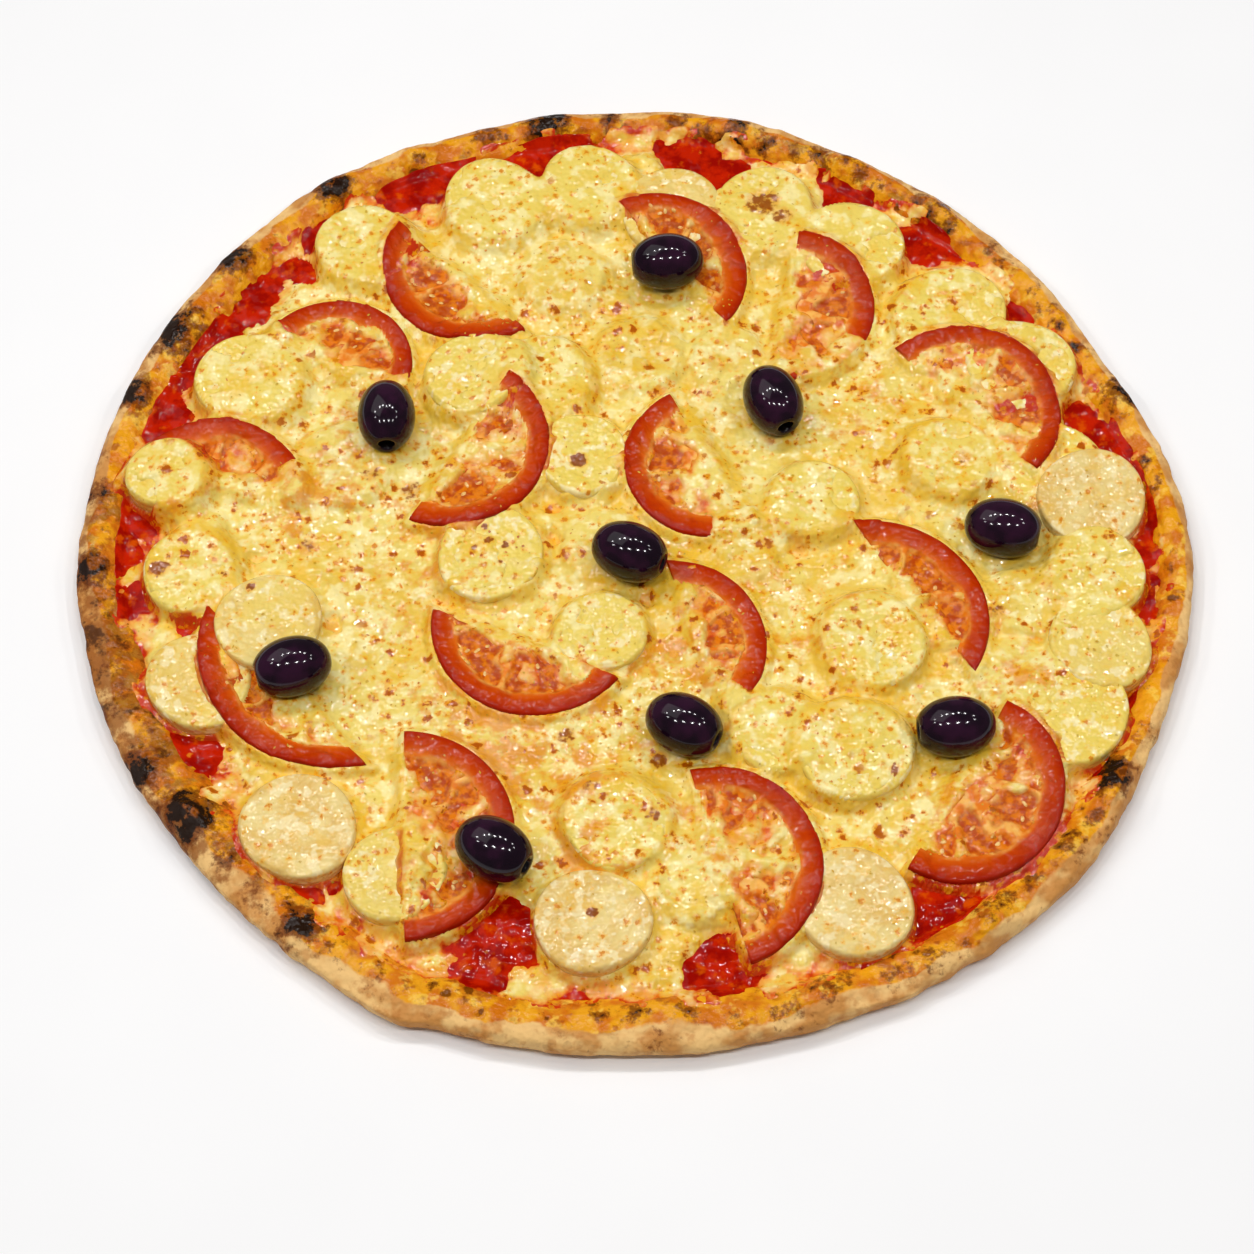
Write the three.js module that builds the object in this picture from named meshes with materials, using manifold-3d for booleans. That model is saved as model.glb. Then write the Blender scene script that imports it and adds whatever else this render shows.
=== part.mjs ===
// Heart of palm pizza, baked whole: a round dough base with a low puffed rim, a skim of tomato
// sauce, melted cheese, and over it slices of heart of palm, half slices of tomato and black olives.
// Millimetres, +Z up. The flat underside is at z = 0 and the middle of the pizza is over the origin;
// +Y is the side furthest from a diner sitting at -Y.
import * as THREE from "three";
import { mergeVertices } from "three/addons/utils/BufferGeometryUtils.js";
import Module from "manifold-3d";

const wasm = await Module();
wasm.setup();

// ---------------------------------------------------------------- driving dimensions
const GAP = 0.3; // air kept between two pieces that touch
const DOUGH = 3.5; // thickness of the base inside the rim
const SAUCE = 1.0; // thickness of the sauce
const CHEESE = 2.6; // usual thickness of the melted cheese
const PALM = 7; // thickness of a slice of heart of palm
const PALM_EDGE = 1.6; // rounding of its upper edge
const TOMATO = 4.4; // thickness of a slice of tomato
const SKIN = 4.5; // width of the firm wall round a slice of tomato
const SINK = 1.4; // how far tomatoes and olives sink into what lies below
const SOFTNESS = 9; // how widely a slice of tomato evens out the steps below it
const OLIVE_LONG = 24.5; // length of an olive
const OLIVE_WIDE = 18.6; // width and height of an olive
const PIT = 2.4; // radius of the hole that the stone left
const RIM = 9.4; // height of the rim's crest
const RIM_BELLY = 4.6; // height at which the rim is widest

const SAUCE_FLOOR = DOUGH + GAP;
const CHEESE_FLOOR = SAUCE_FLOOR + SAUCE + GAP;

// The dough's outline: at each angle in degrees its radius, and how wide the rim is there.
// The dough has a pinched corner at 244 degrees and another at 353.
const OUTLINE = [
  [0, 175, 12], [23, 167, 12], [52, 168, 13], [87, 172, 12], [104, 173, 13], [125, 177, 14],
  [148, 176, 15], [180, 175, 15], [204, 173, 20], [218, 171, 20], [234, 172, 19], [244, 175, 18],
  [249, 172, 18], [271, 171, 19], [292, 173, 17], [315, 176, 15], [340, 174, 13], [353, 176, 12],
];

// Blisters that baking raised on the rim: x, y, radius, height.
const BLISTERS = [
  [-70, 159, 9, 3], [-96, 143, 9, 2.5], [-129, 113, 9, 2.5], [-148, 87, 12, 3], [-161, 62, 9, 2.5],
  [-171, 2, 8, 1.5], [-137, -90, 9, 3], [-103, -128, 8, 1.5], [0, -162, 10, 2], [49, -156, 8, 1.5],
  [99, -134, 9, 2], [124, -114, 9, 2], [141, -94, 10, 2], [162, 45, 9, 2.5], [138, 90, 8, 1.5],
  [104, 119, 10, 3], [77, 140, 9, 3], [40, 155, 10, 2.5], [-23, 163, 10, 3], [-43, 163, 8, 1.5],
];

// Where the cheese stops short of the rim and sauce shows: angle, how far short, half width in degrees.
const BARE = [
  [-25, 8, 3], [-57, 14, 4], [-81, 12, 4], [-108, 20, 5], [-131, 10, 5], [-154, 10, 5], [180, 7, 8],
  [159, 14, 4], [151, 9, 3], [138, 9, 3], [131, 8, 4], [114, 18, 4], [101, 8, 5], [79, 12, 4],
  [58, 8, 3], [47, 14, 4], [31, 10, 3], [5, 5, 14],
];

// Slices of heart of palm that show: x, y and radius. A later one lies on the ones that it meets.
const PALMS = [
  [-9, 139, 16], [49, 125, 17], [18, 126, 17], [77, 109, 17], [108, 80, 17.5], [128, 57, 17.5],
  [135, 17, 17], [145, 5, 17], [144, -22, 15], [131, -69, 17.5], [142, -46, 16], [60, -129, 17.5],
  [-9, -100, 15.5], [-17, -131, 17], [-104, -96, 17.5], [-75, -113, 15.5], [-135, -45, 16.5],
  [-140, -6, 14.5], [-27, 61, 16], [-49, 63, 16], [-15, 31, 15], [-45, -4, 17], [-11, -34, 14],
  [58, 10, 14], [103, 24, 14], [73, -42, 16], [41, -72, 14], [64, -80, 17], [-85, 118, 16],
  [-123, 66, 17], [-41, 134, 17],
];
// These two lie on a slice of tomato.
const UPPER_PALMS = [[-148, 29, 12.5], [-114, -26, 17]];

// Slices that the cheese hides, which only raise it: x, y and radius.
const BURIED = [
  [118, -58, 16], [125, -86, 14], [14, -118, 15], [-143, 6, 15], [-91, 32, 16], [-9, -3, 14],
  [-19, 103, 15], [5, 70, 15], [33, 68, 12], [121, -29, 13], [35, -6, 11],
];

// Slices of tomato, each a round cut across: x and y of the round's middle, its radius, the
// direction in which the round side faces, and how much of the round is left, in degrees.
const TOMATOES = [
  [-47, 108, 32, 222, 152], [11, 100, 31, 34, 152], [54, 85, 29, -12, 180], [-95, 70, 26, 55, 178],
  [-134, 20, 31, 79, 160], [-56, 37, 31, -33, 170], [27, 27, 29, 207, 180], [106, 39, 33, 38, 170],
  [73, -34, 36, 31, 130], [9, -40, 31, 17, 143], [-31, -29, 33, 244, 149], [-92, -33, 44, 221, 120],
  [-74, -100, 35, 0, 174], [19, -115, 33, 13, 172], [94, -92, 32, -33, 180],
];

// Olives: x, y, and the direction of the end with the hole.
const OLIVES = [
  [15, 101, 183], [-77, 45, 270], [47, 45, 288], [-1, -10, 335], [-106, -45, 194],
  [13, -70, 330], [94, -75, 183], [-45, -110, 327], [116, -6, 345],
];

// ---------------------------------------------------------------- small helpers
const rad = THREE.MathUtils.degToRad;
const mix = THREE.MathUtils.lerp;
const blend = THREE.MathUtils.smoothstep;

/** A hump that is 1 at the middle and falls smoothly to 0 at the given radius. */
function hump(distance, radius) {
  return 1 - blend(distance, 0, radius);
}

/** Gentle unevenness between -1 and 1, the same on every run. */
function uneven(x, y, seed) {
  return (
    Math.sin(x * 0.083 + y * 0.051 + seed) * 0.5 +
    Math.sin(y * 0.121 - x * 0.037 + seed * 2.3) * 0.3 +
    Math.sin(x * 0.171 + y * 0.147 + seed * 4.1) * 0.2
  );
}

/** The outline's radius (1) or rim width (2) at an angle in radians, eased between the named angles. */
function outlineAt(angle, what) {
  const degrees = ((THREE.MathUtils.radToDeg(angle) % 360) + 360) % 360;
  const next = OUTLINE.findIndex((row) => row[0] > degrees);
  const b = next === -1 ? OUTLINE[0] : OUTLINE[next];
  const a = next === -1 ? OUTLINE[OUTLINE.length - 1] : OUTLINE[next - 1];
  const end = next === -1 ? 360 : b[0];
  return mix(a[what], b[what], blend(degrees, a[0], end));
}

/**
 * A closed body of rings round a middle. Each station is one ring, listed from the middle of the
 * underside outwards, up and back to the middle of the top; place gives the point of a station at
 * an angle. The first and last station are single points. A sweep other than a full turn is closed
 * by a flat cut.
 */
function ringBody(stations, columns, place, start = 0, sweep = 2 * Math.PI) {
  const open = sweep !== 2 * Math.PI;
  const across = open ? columns + 1 : columns;
  const rings = stations.length - 2;
  const points = [place(stations[0], 0)];
  for (let k = 1; k <= rings; k++) {
    for (let j = 0; j < across; j++) points.push(place(stations[k], start + (sweep * j) / columns));
  }
  points.push(place(stations[rings + 1], 0));
  const top = points.length - 1;
  const at = (k, j) => 1 + k * across + (j % across);
  const faces = [];
  for (let j = 0; j < columns; j++) {
    faces.push([0, at(0, j + 1), at(0, j)]);
    for (let k = 0; k < rings - 1; k++) {
      faces.push([at(k, j), at(k, j + 1), at(k + 1, j + 1)]);
      faces.push([at(k, j), at(k + 1, j + 1), at(k + 1, j)]);
    }
    faces.push([at(rings - 1, j), at(rings - 1, j + 1), top]);
  }
  if (open) {
    for (let k = 0; k < rings; k++) {
      const after = (column) => (k === rings - 1 ? top : at(k + 1, column));
      faces.push([0, at(k, 0), after(0)]);
      faces.push([0, after(columns), at(k, columns)]);
    }
  }
  const body = new THREE.BufferGeometry();
  body.setAttribute("position", new THREE.Float32BufferAttribute(points.flat(), 3));
  body.setIndex(faces.flat());
  return body;
}

/** A geometry as a solid that can be cut. */
function toSolid(geometry, together = 1e-4) {
  const bare = geometry.clone();
  bare.deleteAttribute("normal");
  bare.deleteAttribute("uv");
  const merged = mergeVertices(bare, together);
  const vertProperties = new Float32Array(merged.attributes.position.array);
  const triVerts = new Uint32Array(merged.index.array);
  return new wasm.Manifold(new wasm.Mesh({ numProp: 3, vertProperties, triVerts }));
}

/** The largest body of a cut solid, with corners that fell together joined; crumbs are dropped. */
function largest(solid) {
  const byVolume = (a, b) => b.volume() - a.volume();
  const main = solid.decompose().sort(byVolume)[0];
  return toSolid(toGeometry(main), 1e-3).decompose().sort(byVolume)[0];
}

/** A solid as a geometry for a mesh. */
function toGeometry(solid) {
  const mesh = solid.getMesh();
  const body = new THREE.BufferGeometry();
  body.setAttribute("position", new THREE.BufferAttribute(mesh.vertProperties, 3));
  body.setIndex(new THREE.BufferAttribute(mesh.triVerts, 1));
  return body;
}

// ---------------------------------------------------------------- crust
// Stations across the rim: share of the rim's width in from the outline, and share of its height.
const RIM_PROFILE = [
  [0.55, 0], [0.2, 0.09], [0.04, 0.3], [0, 0.5], [0.09, 0.8], [0.3, 0.99], [0.52, 0.95], [0.78, 0.62],
  [1, 0],
];
const CRUST_COLUMNS = 88;

/** Height of the crest at a place on the rim, with its blisters. */
function rimHeight(x, y) {
  const raised = BLISTERS.map(([bx, by, r, h]) => h * hump(Math.hypot(x - bx, y - by), r * 1.6));
  return RIM + 1.1 * uneven(x, y, 1) + Math.max(...raised);
}

/**
 * The dough: flat beneath, with the rim standing round the base. grow adds to every side, and
 * floor is the height of the base inside the rim.
 */
function crustBody(grow = 0, floor = DOUGH) {
  const stations = [[null, -grow], ...RIM_PROFILE, [null, floor]];
  return ringBody(stations, CRUST_COLUMNS, (station, angle) => {
    const [inset, share] = station;
    if (inset === null) return [0, 0, share];
    const width = outlineAt(angle, 2) * (1 + 0.1 * uneven(90 * Math.cos(angle), 90 * Math.sin(angle), 5));
    const ripple = 0.7 * uneven(170 * Math.cos(angle), 170 * Math.sin(angle), 9) * (inset < 0.5 ? 1 : 0);
    const foot = inset === 1;
    const radius = outlineAt(angle, 1) + ripple - inset * width + (inset > 0.4 && share ? -grow : grow);
    const x = radius * Math.cos(angle);
    const y = radius * Math.sin(angle);
    if (foot) return [x, y, floor];
    if (!share) return [x, y, -grow];
    const lifted = inset > 0.06 && inset < 0.9 ? rimHeight(x, y) : RIM;
    const height = share > 0.5 ? DOUGH + (lifted - DOUGH) * share : RIM_BELLY * share * 2;
    return [x, y, height + (share >= 0.5 ? grow : -grow)];
  });
}

// ---------------------------------------------------------------- sauce and cheese
/** A thin sauce over the base, out to the foot of the rim. */
function sauceBody() {
  const stations = [[0, 0], [0.99, 0], [0.985, SAUCE], [0, SAUCE]];
  return ringBody(stations, CRUST_COLUMNS / 2, ([share, z], angle) => {
    const foot = outlineAt(angle, 1) - 1.12 * outlineAt(angle, 2);
    const radius = share * foot;
    return [radius * Math.cos(angle), radius * Math.sin(angle), SAUCE_FLOOR + z];
  });
}

/** How far the cheese reaches at an angle in radians. */
function cheeseReach(angle) {
  const degrees = THREE.MathUtils.radToDeg(angle);
  const short = BARE.map(([at, depth, half]) => {
    const off = Math.abs(((degrees - at + 540) % 360) - 180);
    return depth * hump(off, half * 1.7);
  });
  const ragged = 1.6 * Math.sin(angle * 11 + 1) + 1.2 * Math.sin(angle * 23);
  return outlineAt(angle, 1) - 1.15 * outlineAt(angle, 2) - 1.5 + ragged - Math.max(...short);
}

/** Height of the cheese's surface, with the slices that it buries. */
function cheeseTop(x, y) {
  const buried = BURIED.map(([bx, by, r]) => 2.6 * (1 - blend(Math.hypot(x - bx, y - by), r - 3, r + 3)));
  return CHEESE_FLOOR + CHEESE + 0.5 * uneven(x * 1.6, y * 1.6, 3) + Math.max(...buried);
}

const CHEESE_RINGS = [1, 0.96, 0.83, 0.68, 0.5, 0.28];
const CHEESE_COLUMNS = 38;
const CHEESE_LIP = 0.9; // thickness at the very edge

/** The cheese before anything is pressed into it: it thins to a lip at its ragged edge. */
function cheeseBody() {
  const stations = [[0, 0], [0.985, 0], ...CHEESE_RINGS.map((share) => [share, 1]), [0, 1]];
  return ringBody(stations, CHEESE_COLUMNS, ([share, top], angle) => {
    const radius = share * cheeseReach(angle);
    const x = radius * Math.cos(angle);
    const y = radius * Math.sin(angle);
    const full = cheeseTop(x, y) - CHEESE_FLOOR;
    const thick = share === 1 ? CHEESE_LIP : share > 0.95 ? Math.min(full, CHEESE) * 0.85 : full;
    return [x, y, CHEESE_FLOOR + top * thick];
  });
}

// ---------------------------------------------------------------- toppings
/** How a slice of heart of palm lies: its height at the middle and its slope, leaning on earlier ones. */
function palmLie([x, y, r], earlier) {
  const lie = { x, y, r, z: CHEESE_FLOOR, slopeX: 0, slopeY: 0 };
  for (const [ex, ey, er] of earlier) {
    const away = Math.hypot(ex - x, ey - y);
    const overlap = r + er - away;
    if (overlap <= 0) continue;
    const slope = Math.min(0.012 * overlap, 0.14);
    lie.slopeX += (slope * (ex - x)) / away;
    lie.slopeY += (slope * (ey - y)) / away;
  }
  lie.z += 1.06 * r * Math.hypot(lie.slopeX, lie.slopeY);
  return lie;
}

const PALM_COLUMNS = 12;

/** A round slice, a little out of round, with its upper edge softened. grow adds to every side. */
function palmBody(lie, grow = 0) {
  const { x: cx, y: cy, r, z, slopeX, slopeY } = lie;
  const stations = grow
    ? [[0, 0], [1, 0], [1, 1], [0, 1]]
    : [[0, 0], [1, 0], [1, 0.72], [1 - PALM_EDGE / r, 1], [0, 1]];
  return ringBody(stations, PALM_COLUMNS, ([share, up], angle) => {
    const round = r * (1 + 0.035 * Math.sin(2 * angle + cx) + 0.02 * Math.sin(3 * angle + cy)) + grow;
    const dx = share * round * Math.cos(angle);
    const dy = share * round * Math.sin(angle);
    const low = -grow * 0.9;
    const high = PALM + grow;
    return [cx + dx, cy + dy, z + slopeX * dx + slopeY * dy + mix(low, high, up)];
  });
}

const TOMATO_COLUMNS = 10;

/**
 * Stations of a slice of tomato: its share of the way out from the cut edge's middle, how far it is
 * in from the skin, its share of the thickness, and how much the spokes of flesh stand up there.
 */
const TOMATO_STATIONS = [
  { out: 0, up: 0 },
  { inset: 1.2, up: 0 },
  { inset: 0, up: 0.45 },
  { inset: 0.9, up: 0.98 },
  { inset: SKIN - 0.8, up: 1 },
  { inset: SKIN + 0.8, up: 0.8 },
  { out: 0.5, inset: SKIN + 0.8, up: 0.72, spoke: 0.2 },
  { out: 0, up: 0.85 },
];

/**
 * A slice that has softened over what lies below: a firm wall round the flesh, and hollows between
 * the spokes of flesh, where the seeds were. grow adds to every side.
 */
function tomatoBody([cx, cy, r, facing, left], under, grow = 0) {
  const direction = rad(facing);
  const [ux, uy] = [Math.cos(direction), Math.sin(direction)];
  const cut = r * Math.cos(rad(left / 2)); // from the round's middle to the cut edge
  const place = ({ out = 1, inset = 0, up, spoke = 0 }, turn) => {
    const ring = r - inset;
    const angle = turn * Math.acos(cut / ring);
    const forward = cut + out * (ring * Math.cos(angle) - cut);
    const sideways = out * ring * Math.sin(angle);
    const x = cx + forward * ux - sideways * uy;
    const y = cy + forward * uy + sideways * ux;
    const height = under(x, y) + GAP - SINK + TOMATO * (up + spoke * Math.cos(turn * 6));
    const onCut = out === 0 || Math.abs(turn) > 0.99;
    const outer = 1.2 * grow * (onCut ? -1 : out * Math.cos(angle));
    const wider = 1.2 * grow * out * Math.sin(angle);
    return [
      x + outer * ux - wider * uy,
      y + outer * uy + wider * ux,
      height + (up > 0.6 ? grow : -2 * grow),
    ];
  };
  return ringBody(TOMATO_STATIONS, TOMATO_COLUMNS, place, -1, 2);
}

/** Rings of an olive along its length, from inside the hole to the far end: radius, place. */
const OLIVE_RINGS = [
  [0, -0.5], [PIT / 10, -0.52], [PIT / 9, -0.93], [0.56, -0.87], [0.87, -0.6], [1, -0.2], [1, 0.22],
  [0.86, 0.62], [0.5, 0.92], [0, 1],
];

/** An olive lying on its side, its pit hole at the end that it faces. grow adds to every side. */
function oliveBody([cx, cy, facing], z, grow = 0) {
  const body = grow
    ? new THREE.SphereGeometry(1, 12, 8)
    : ringBody(OLIVE_RINGS, 10, ([r, along], angle) => [-along, r * Math.sin(angle), r * Math.cos(angle)]);
  body.scale(OLIVE_LONG / 2 + grow, OLIVE_WIDE / 2 + grow, OLIVE_WIDE / 2 + grow);
  body.rotateZ(rad(facing));
  body.translate(cx, cy, z);
  return body;
}

// ---------------------------------------------------------------- laying the pizza
// Everything laid on the sauce: its solid, its swollen copy that presses into what lies below, and
// the height of its upper side at a place.
const laid = [];

/** The highest thing at a place. */
function topAt(x, y) {
  return Math.max(cheeseTop(x, y), ...laid.map((piece) => piece.top(x, y)));
}

/** The height on which something soft lies at a place, which evens out what is below. */
function supportAt(x, y, spread = SOFTNESS, highest = topAt) {
  let sum = highest(x, y);
  for (let i = 0; i < 8; i++) {
    const angle = (i * Math.PI) / 4;
    sum += highest(x + spread * Math.cos(angle), y + spread * Math.sin(angle));
  }
  return sum / 9;
}

/** Lays a piece down: it presses into every earlier one that it meets. */
function lay(name, look, body, grown, top) {
  const press = toSolid(grown);
  for (const piece of laid) piece.solid = piece.solid.subtract(press);
  laid.push({ name, look, top, press, solid: toSolid(body) });
}

/** Lays a slice of heart of palm down at its place, height and slope. */
function layPalm(name, lie) {
  lay(name, "palm", palmBody(lie), palmBody(lie, GAP), (x, y) => {
    if (Math.hypot(x - lie.x, y - lie.y) > lie.r) return 0;
    return lie.z + PALM + lie.slopeX * (x - lie.x) + lie.slopeY * (y - lie.y);
  });
}

/** A slice of heart of palm that lies on a slice of tomato and leans with it. */
function layUpperPalm(name, [x, y, r]) {
  const reach = 0.65 * r;
  const slopeX = (supportAt(x + reach, y) - supportAt(x - reach, y)) / (2 * reach);
  const slopeY = (supportAt(x, y + reach) - supportAt(x, y - reach)) / (2 * reach);
  layPalm(name, { x, y, r, z: supportAt(x, y, reach) - SINK, slopeX, slopeY });
}

/** Lays a slice of tomato down, bent to what is below it. */
function layTomato(name, slice) {
  const [cx, cy, r, facing, left] = slice;
  const below = laid.slice();
  const topBelow = (x, y) => Math.max(cheeseTop(x, y), ...below.map((piece) => piece.top(x, y)));
  const under = (x, y) => supportAt(x, y, SOFTNESS, topBelow);
  const [ux, uy] = [Math.cos(rad(facing)), Math.sin(rad(facing))];
  lay(name, "tomato", tomatoBody(slice, under), tomatoBody(slice, under, GAP), (x, y) => {
    const forward = (x - cx) * ux + (y - cy) * uy;
    const inside = Math.hypot(x - cx, y - cy) < r && forward > r * Math.cos(rad(left / 2));
    return inside ? under(x, y) - SINK + TOMATO : 0;
  });
}

/** Lays an olive down in the dent that it melts into the cheese. */
function layOlive(name, olive) {
  const [x, y] = olive;
  const z = supportAt(x, y, OLIVE_WIDE / 4) + OLIVE_WIDE / 2 - SINK;
  lay(name, "olive", oliveBody(olive, z), oliveBody(olive, z, 4 * GAP), () => 0);
}

const twoDigits = (i) => String(i + 1).padStart(2, "0");

PALMS.forEach((palm, i) => layPalm(`palm_${twoDigits(i)}`, palmLie(palm, PALMS.slice(0, i))));
const slicesOnSauce = laid.map((piece) => piece.press);
const cheese = { name: "cheese", look: "cheese", solid: toSolid(cheeseBody()), top: () => 0 };
for (const press of slicesOnSauce) cheese.solid = cheese.solid.subtract(press);
laid.push(cheese);

TOMATOES.forEach((slice, i) => layTomato(`tomato_${twoDigits(i)}`, slice));
UPPER_PALMS.forEach((palm, i) => layUpperPalm(`palm_${twoDigits(PALMS.length + i)}`, palm));
OLIVES.forEach((olive, i) => layOlive(`olive_${i + 1}`, olive));

// Nothing crosses the rim or dips into the sauce.
const rimPress = toSolid(crustBody(GAP, CHEESE_FLOOR - 0.1));
for (const piece of laid) piece.solid = largest(piece.solid.subtract(rimPress));

// ---------------------------------------------------------------- the finished group
const LOOKS = {
  crust: { color: 0xd9b27c, roughness: 0.85 },
  sauce: { color: 0xb02a10, roughness: 0.35 },
  cheese: { color: 0xf1dc8a, roughness: 0.4 },
  palm: { color: 0xeedcae, roughness: 0.45 },
  tomato: { color: 0xcf3a1c, roughness: 0.35 },
  olive: { color: 0x1d0f1c, roughness: 0.2 },
};

/** A named mesh with its own material. */
function namedMesh(name, look, geometry) {
  const mesh = new THREE.Mesh(geometry, new THREE.MeshStandardMaterial({ ...LOOKS[look], metalness: 0 }));
  mesh.name = name;
  return mesh;
}

const pizza = new THREE.Group();
pizza.add(namedMesh("crust", "crust", crustBody()));
pizza.add(namedMesh("sauce", "sauce", sauceBody()));
for (const { name, look, solid } of laid) pizza.add(namedMesh(name, look, toGeometry(solid)));

export default pizza;
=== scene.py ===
"""Heart of palm pizza: the fine shapes and the materials of the baked dough, the sauce, the melted
cheese and the toppings. Sizes are in millimetres in the pizza's own frame until a mesh is made:
+Z up, +Y away from the diner, the underside at z = 0."""

import math

import bpy
import numpy as np
from mathutils import Matrix, Vector


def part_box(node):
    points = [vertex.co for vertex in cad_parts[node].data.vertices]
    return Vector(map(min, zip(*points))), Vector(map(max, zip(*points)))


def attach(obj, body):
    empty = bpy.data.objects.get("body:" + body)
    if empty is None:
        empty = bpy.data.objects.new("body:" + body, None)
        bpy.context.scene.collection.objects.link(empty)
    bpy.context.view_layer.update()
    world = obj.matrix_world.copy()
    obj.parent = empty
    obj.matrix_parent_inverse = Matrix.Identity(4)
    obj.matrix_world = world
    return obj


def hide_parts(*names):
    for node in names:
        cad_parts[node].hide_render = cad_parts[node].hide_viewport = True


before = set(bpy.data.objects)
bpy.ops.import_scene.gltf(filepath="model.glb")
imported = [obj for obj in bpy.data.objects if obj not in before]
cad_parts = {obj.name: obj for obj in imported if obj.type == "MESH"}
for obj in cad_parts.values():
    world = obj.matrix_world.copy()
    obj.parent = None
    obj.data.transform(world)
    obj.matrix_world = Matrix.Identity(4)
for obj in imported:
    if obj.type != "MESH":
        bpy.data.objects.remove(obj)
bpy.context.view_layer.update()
MM = 0.001

# ---------------------------------------------------------------- the pizza's sizes and places
# Thicknesses and the small gap between one layer and the next.
GAP = 0.3
DOUGH = 3.5
SAUCE = 1.0
CHEESE = 2.6
PALM = 7.0
TOMATO = 4.4
PALM_EDGE = 1.6  # how round a slice's upper edge is
SKIN = 4.5  # a tomato's outer wall
SINK = 1.4  # how deep a topping sinks in
SOFTNESS = 9.0  # how far out something soft feels what it lies on
BURIED_RISE = 2.6  # how high the cheese stands over a slice that it hides
OLIVE_LONG = 24.5
OLIVE_WIDE = 18.6
PIT = 2.4
# The rim's height, the height at which its side is widest, and the floors of the layers.
RIM = 9.4
RIM_BELLY = 4.6
SAUCE_FLOOR = DOUGH + GAP
SAUCE_TOP = SAUCE_FLOOR + SAUCE
CHEESE_FLOOR = SAUCE_TOP + GAP
CHEESE_UNDER = 0.9  # how far the cheese goes down beside the sauce

# How finely the pieces are divided.
RIM_COLUMNS = 760
SAUCE_STEPS = 230
CHEESE_STEPS = 304
GROUND_STEPS = 190
PALM_COLUMNS = 72
TOMATO_COLUMNS = 110
OLIVE_COLUMNS = 56

# The dough's outline: angle in degrees, radius, width of the rim.
OUTLINE = [
    [0, 175, 12], [23, 167, 12], [52, 168, 13], [87, 172, 12], [104, 173, 13], [125, 177, 14],
    [148, 176, 15], [180, 175, 15], [204, 173, 20], [218, 171, 20], [234, 172, 19], [244, 175, 18],
    [249, 172, 18], [271, 171, 19], [292, 173, 17], [315, 176, 15], [340, 174, 13], [353, 176, 12],
]
# Blisters on the rim: x, y, radius, height.
BLISTERS = [
    [-70, 159, 9, 3], [-96, 143, 9, 2.5], [-129, 113, 9, 2.5], [-148, 87, 12, 3], [-161, 62, 9, 2.5],
    [-171, 2, 8, 1.5], [-137, -90, 9, 3], [-103, -128, 8, 1.5], [0, -162, 10, 2], [49, -156, 8, 1.5],
    [99, -134, 9, 2], [124, -114, 9, 2], [141, -94, 10, 2], [162, 45, 9, 2.5], [138, 90, 8, 1.5],
    [104, 119, 10, 3], [77, 140, 9, 3], [40, 155, 10, 2.5], [-23, 163, 10, 3], [-43, 163, 8, 1.5],
]
# Where the cheese stops short of the rim: angle, how far short, half width in degrees.
BARE = [
    [-25, 8, 3], [-57, 14, 4], [-81, 12, 4], [-108, 20, 5], [-131, 10, 5], [-154, 10, 5], [180, 7, 8],
    [159, 14, 4], [151, 9, 3], [138, 9, 3], [131, 8, 4], [114, 18, 4], [101, 8, 5], [79, 12, 4],
    [58, 8, 3], [47, 14, 4], [31, 10, 3], [5, 5, 14],
]
# Slices of heart of palm: x, y, radius, how far the cheese covers them (-1 bare, 1 all over).
PALMS = [
    [-9, 139, 16, 0.6], [49, 125, 17, 0.5], [18, 126, 17, -0.7], [77, 109, 17, 0.5], [108, 80, 17.5, 0.6],
    [128, 57, 17.5, 0.4], [135, 17, 17, 0.7], [145, 5, 17, -1.1], [144, -22, 15, 0.7],
    [131, -69, 17.5, 0.3], [142, -46, 16, -0.4], [60, -129, 17.5, -1.3], [-9, -100, 15.5, 0.5],
    [-17, -131, 17, -1.2], [-104, -96, 17.5, -1.3], [-75, -113, 15.5, -0.3], [-135, -45, 16.5, -0.6],
    [-140, -6, 14.5, 0.5], [-27, 61, 16, 0.5], [-49, 63, 16, 0.3], [-15, 31, 15, 0.1], [-45, -4, 17, 0.1],
    [-11, -34, 14, 0.0], [58, 10, 14, 0.2], [103, 24, 14, 0.7], [73, -42, 16, 0.6], [41, -72, 14, 0.3],
    [64, -80, 17, 0.6], [-85, 118, 16, 0.7], [-123, 66, 17, 0.6], [-41, 134, 17, 0.7],
]
UPPER_PALMS = [[-148, 29, 12.5, 0.4], [-114, -26, 17, -0.8]]
# Slices that the cheese hides: x, y, radius.
BURIED = [
    [118, -58, 16], [125, -86, 14], [14, -118, 15], [-143, 6, 15], [-91, 32, 16], [-9, -3, 14],
    [-19, 103, 15], [5, 70, 15], [33, 68, 12], [121, -29, 13], [35, -6, 11],
]
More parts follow.
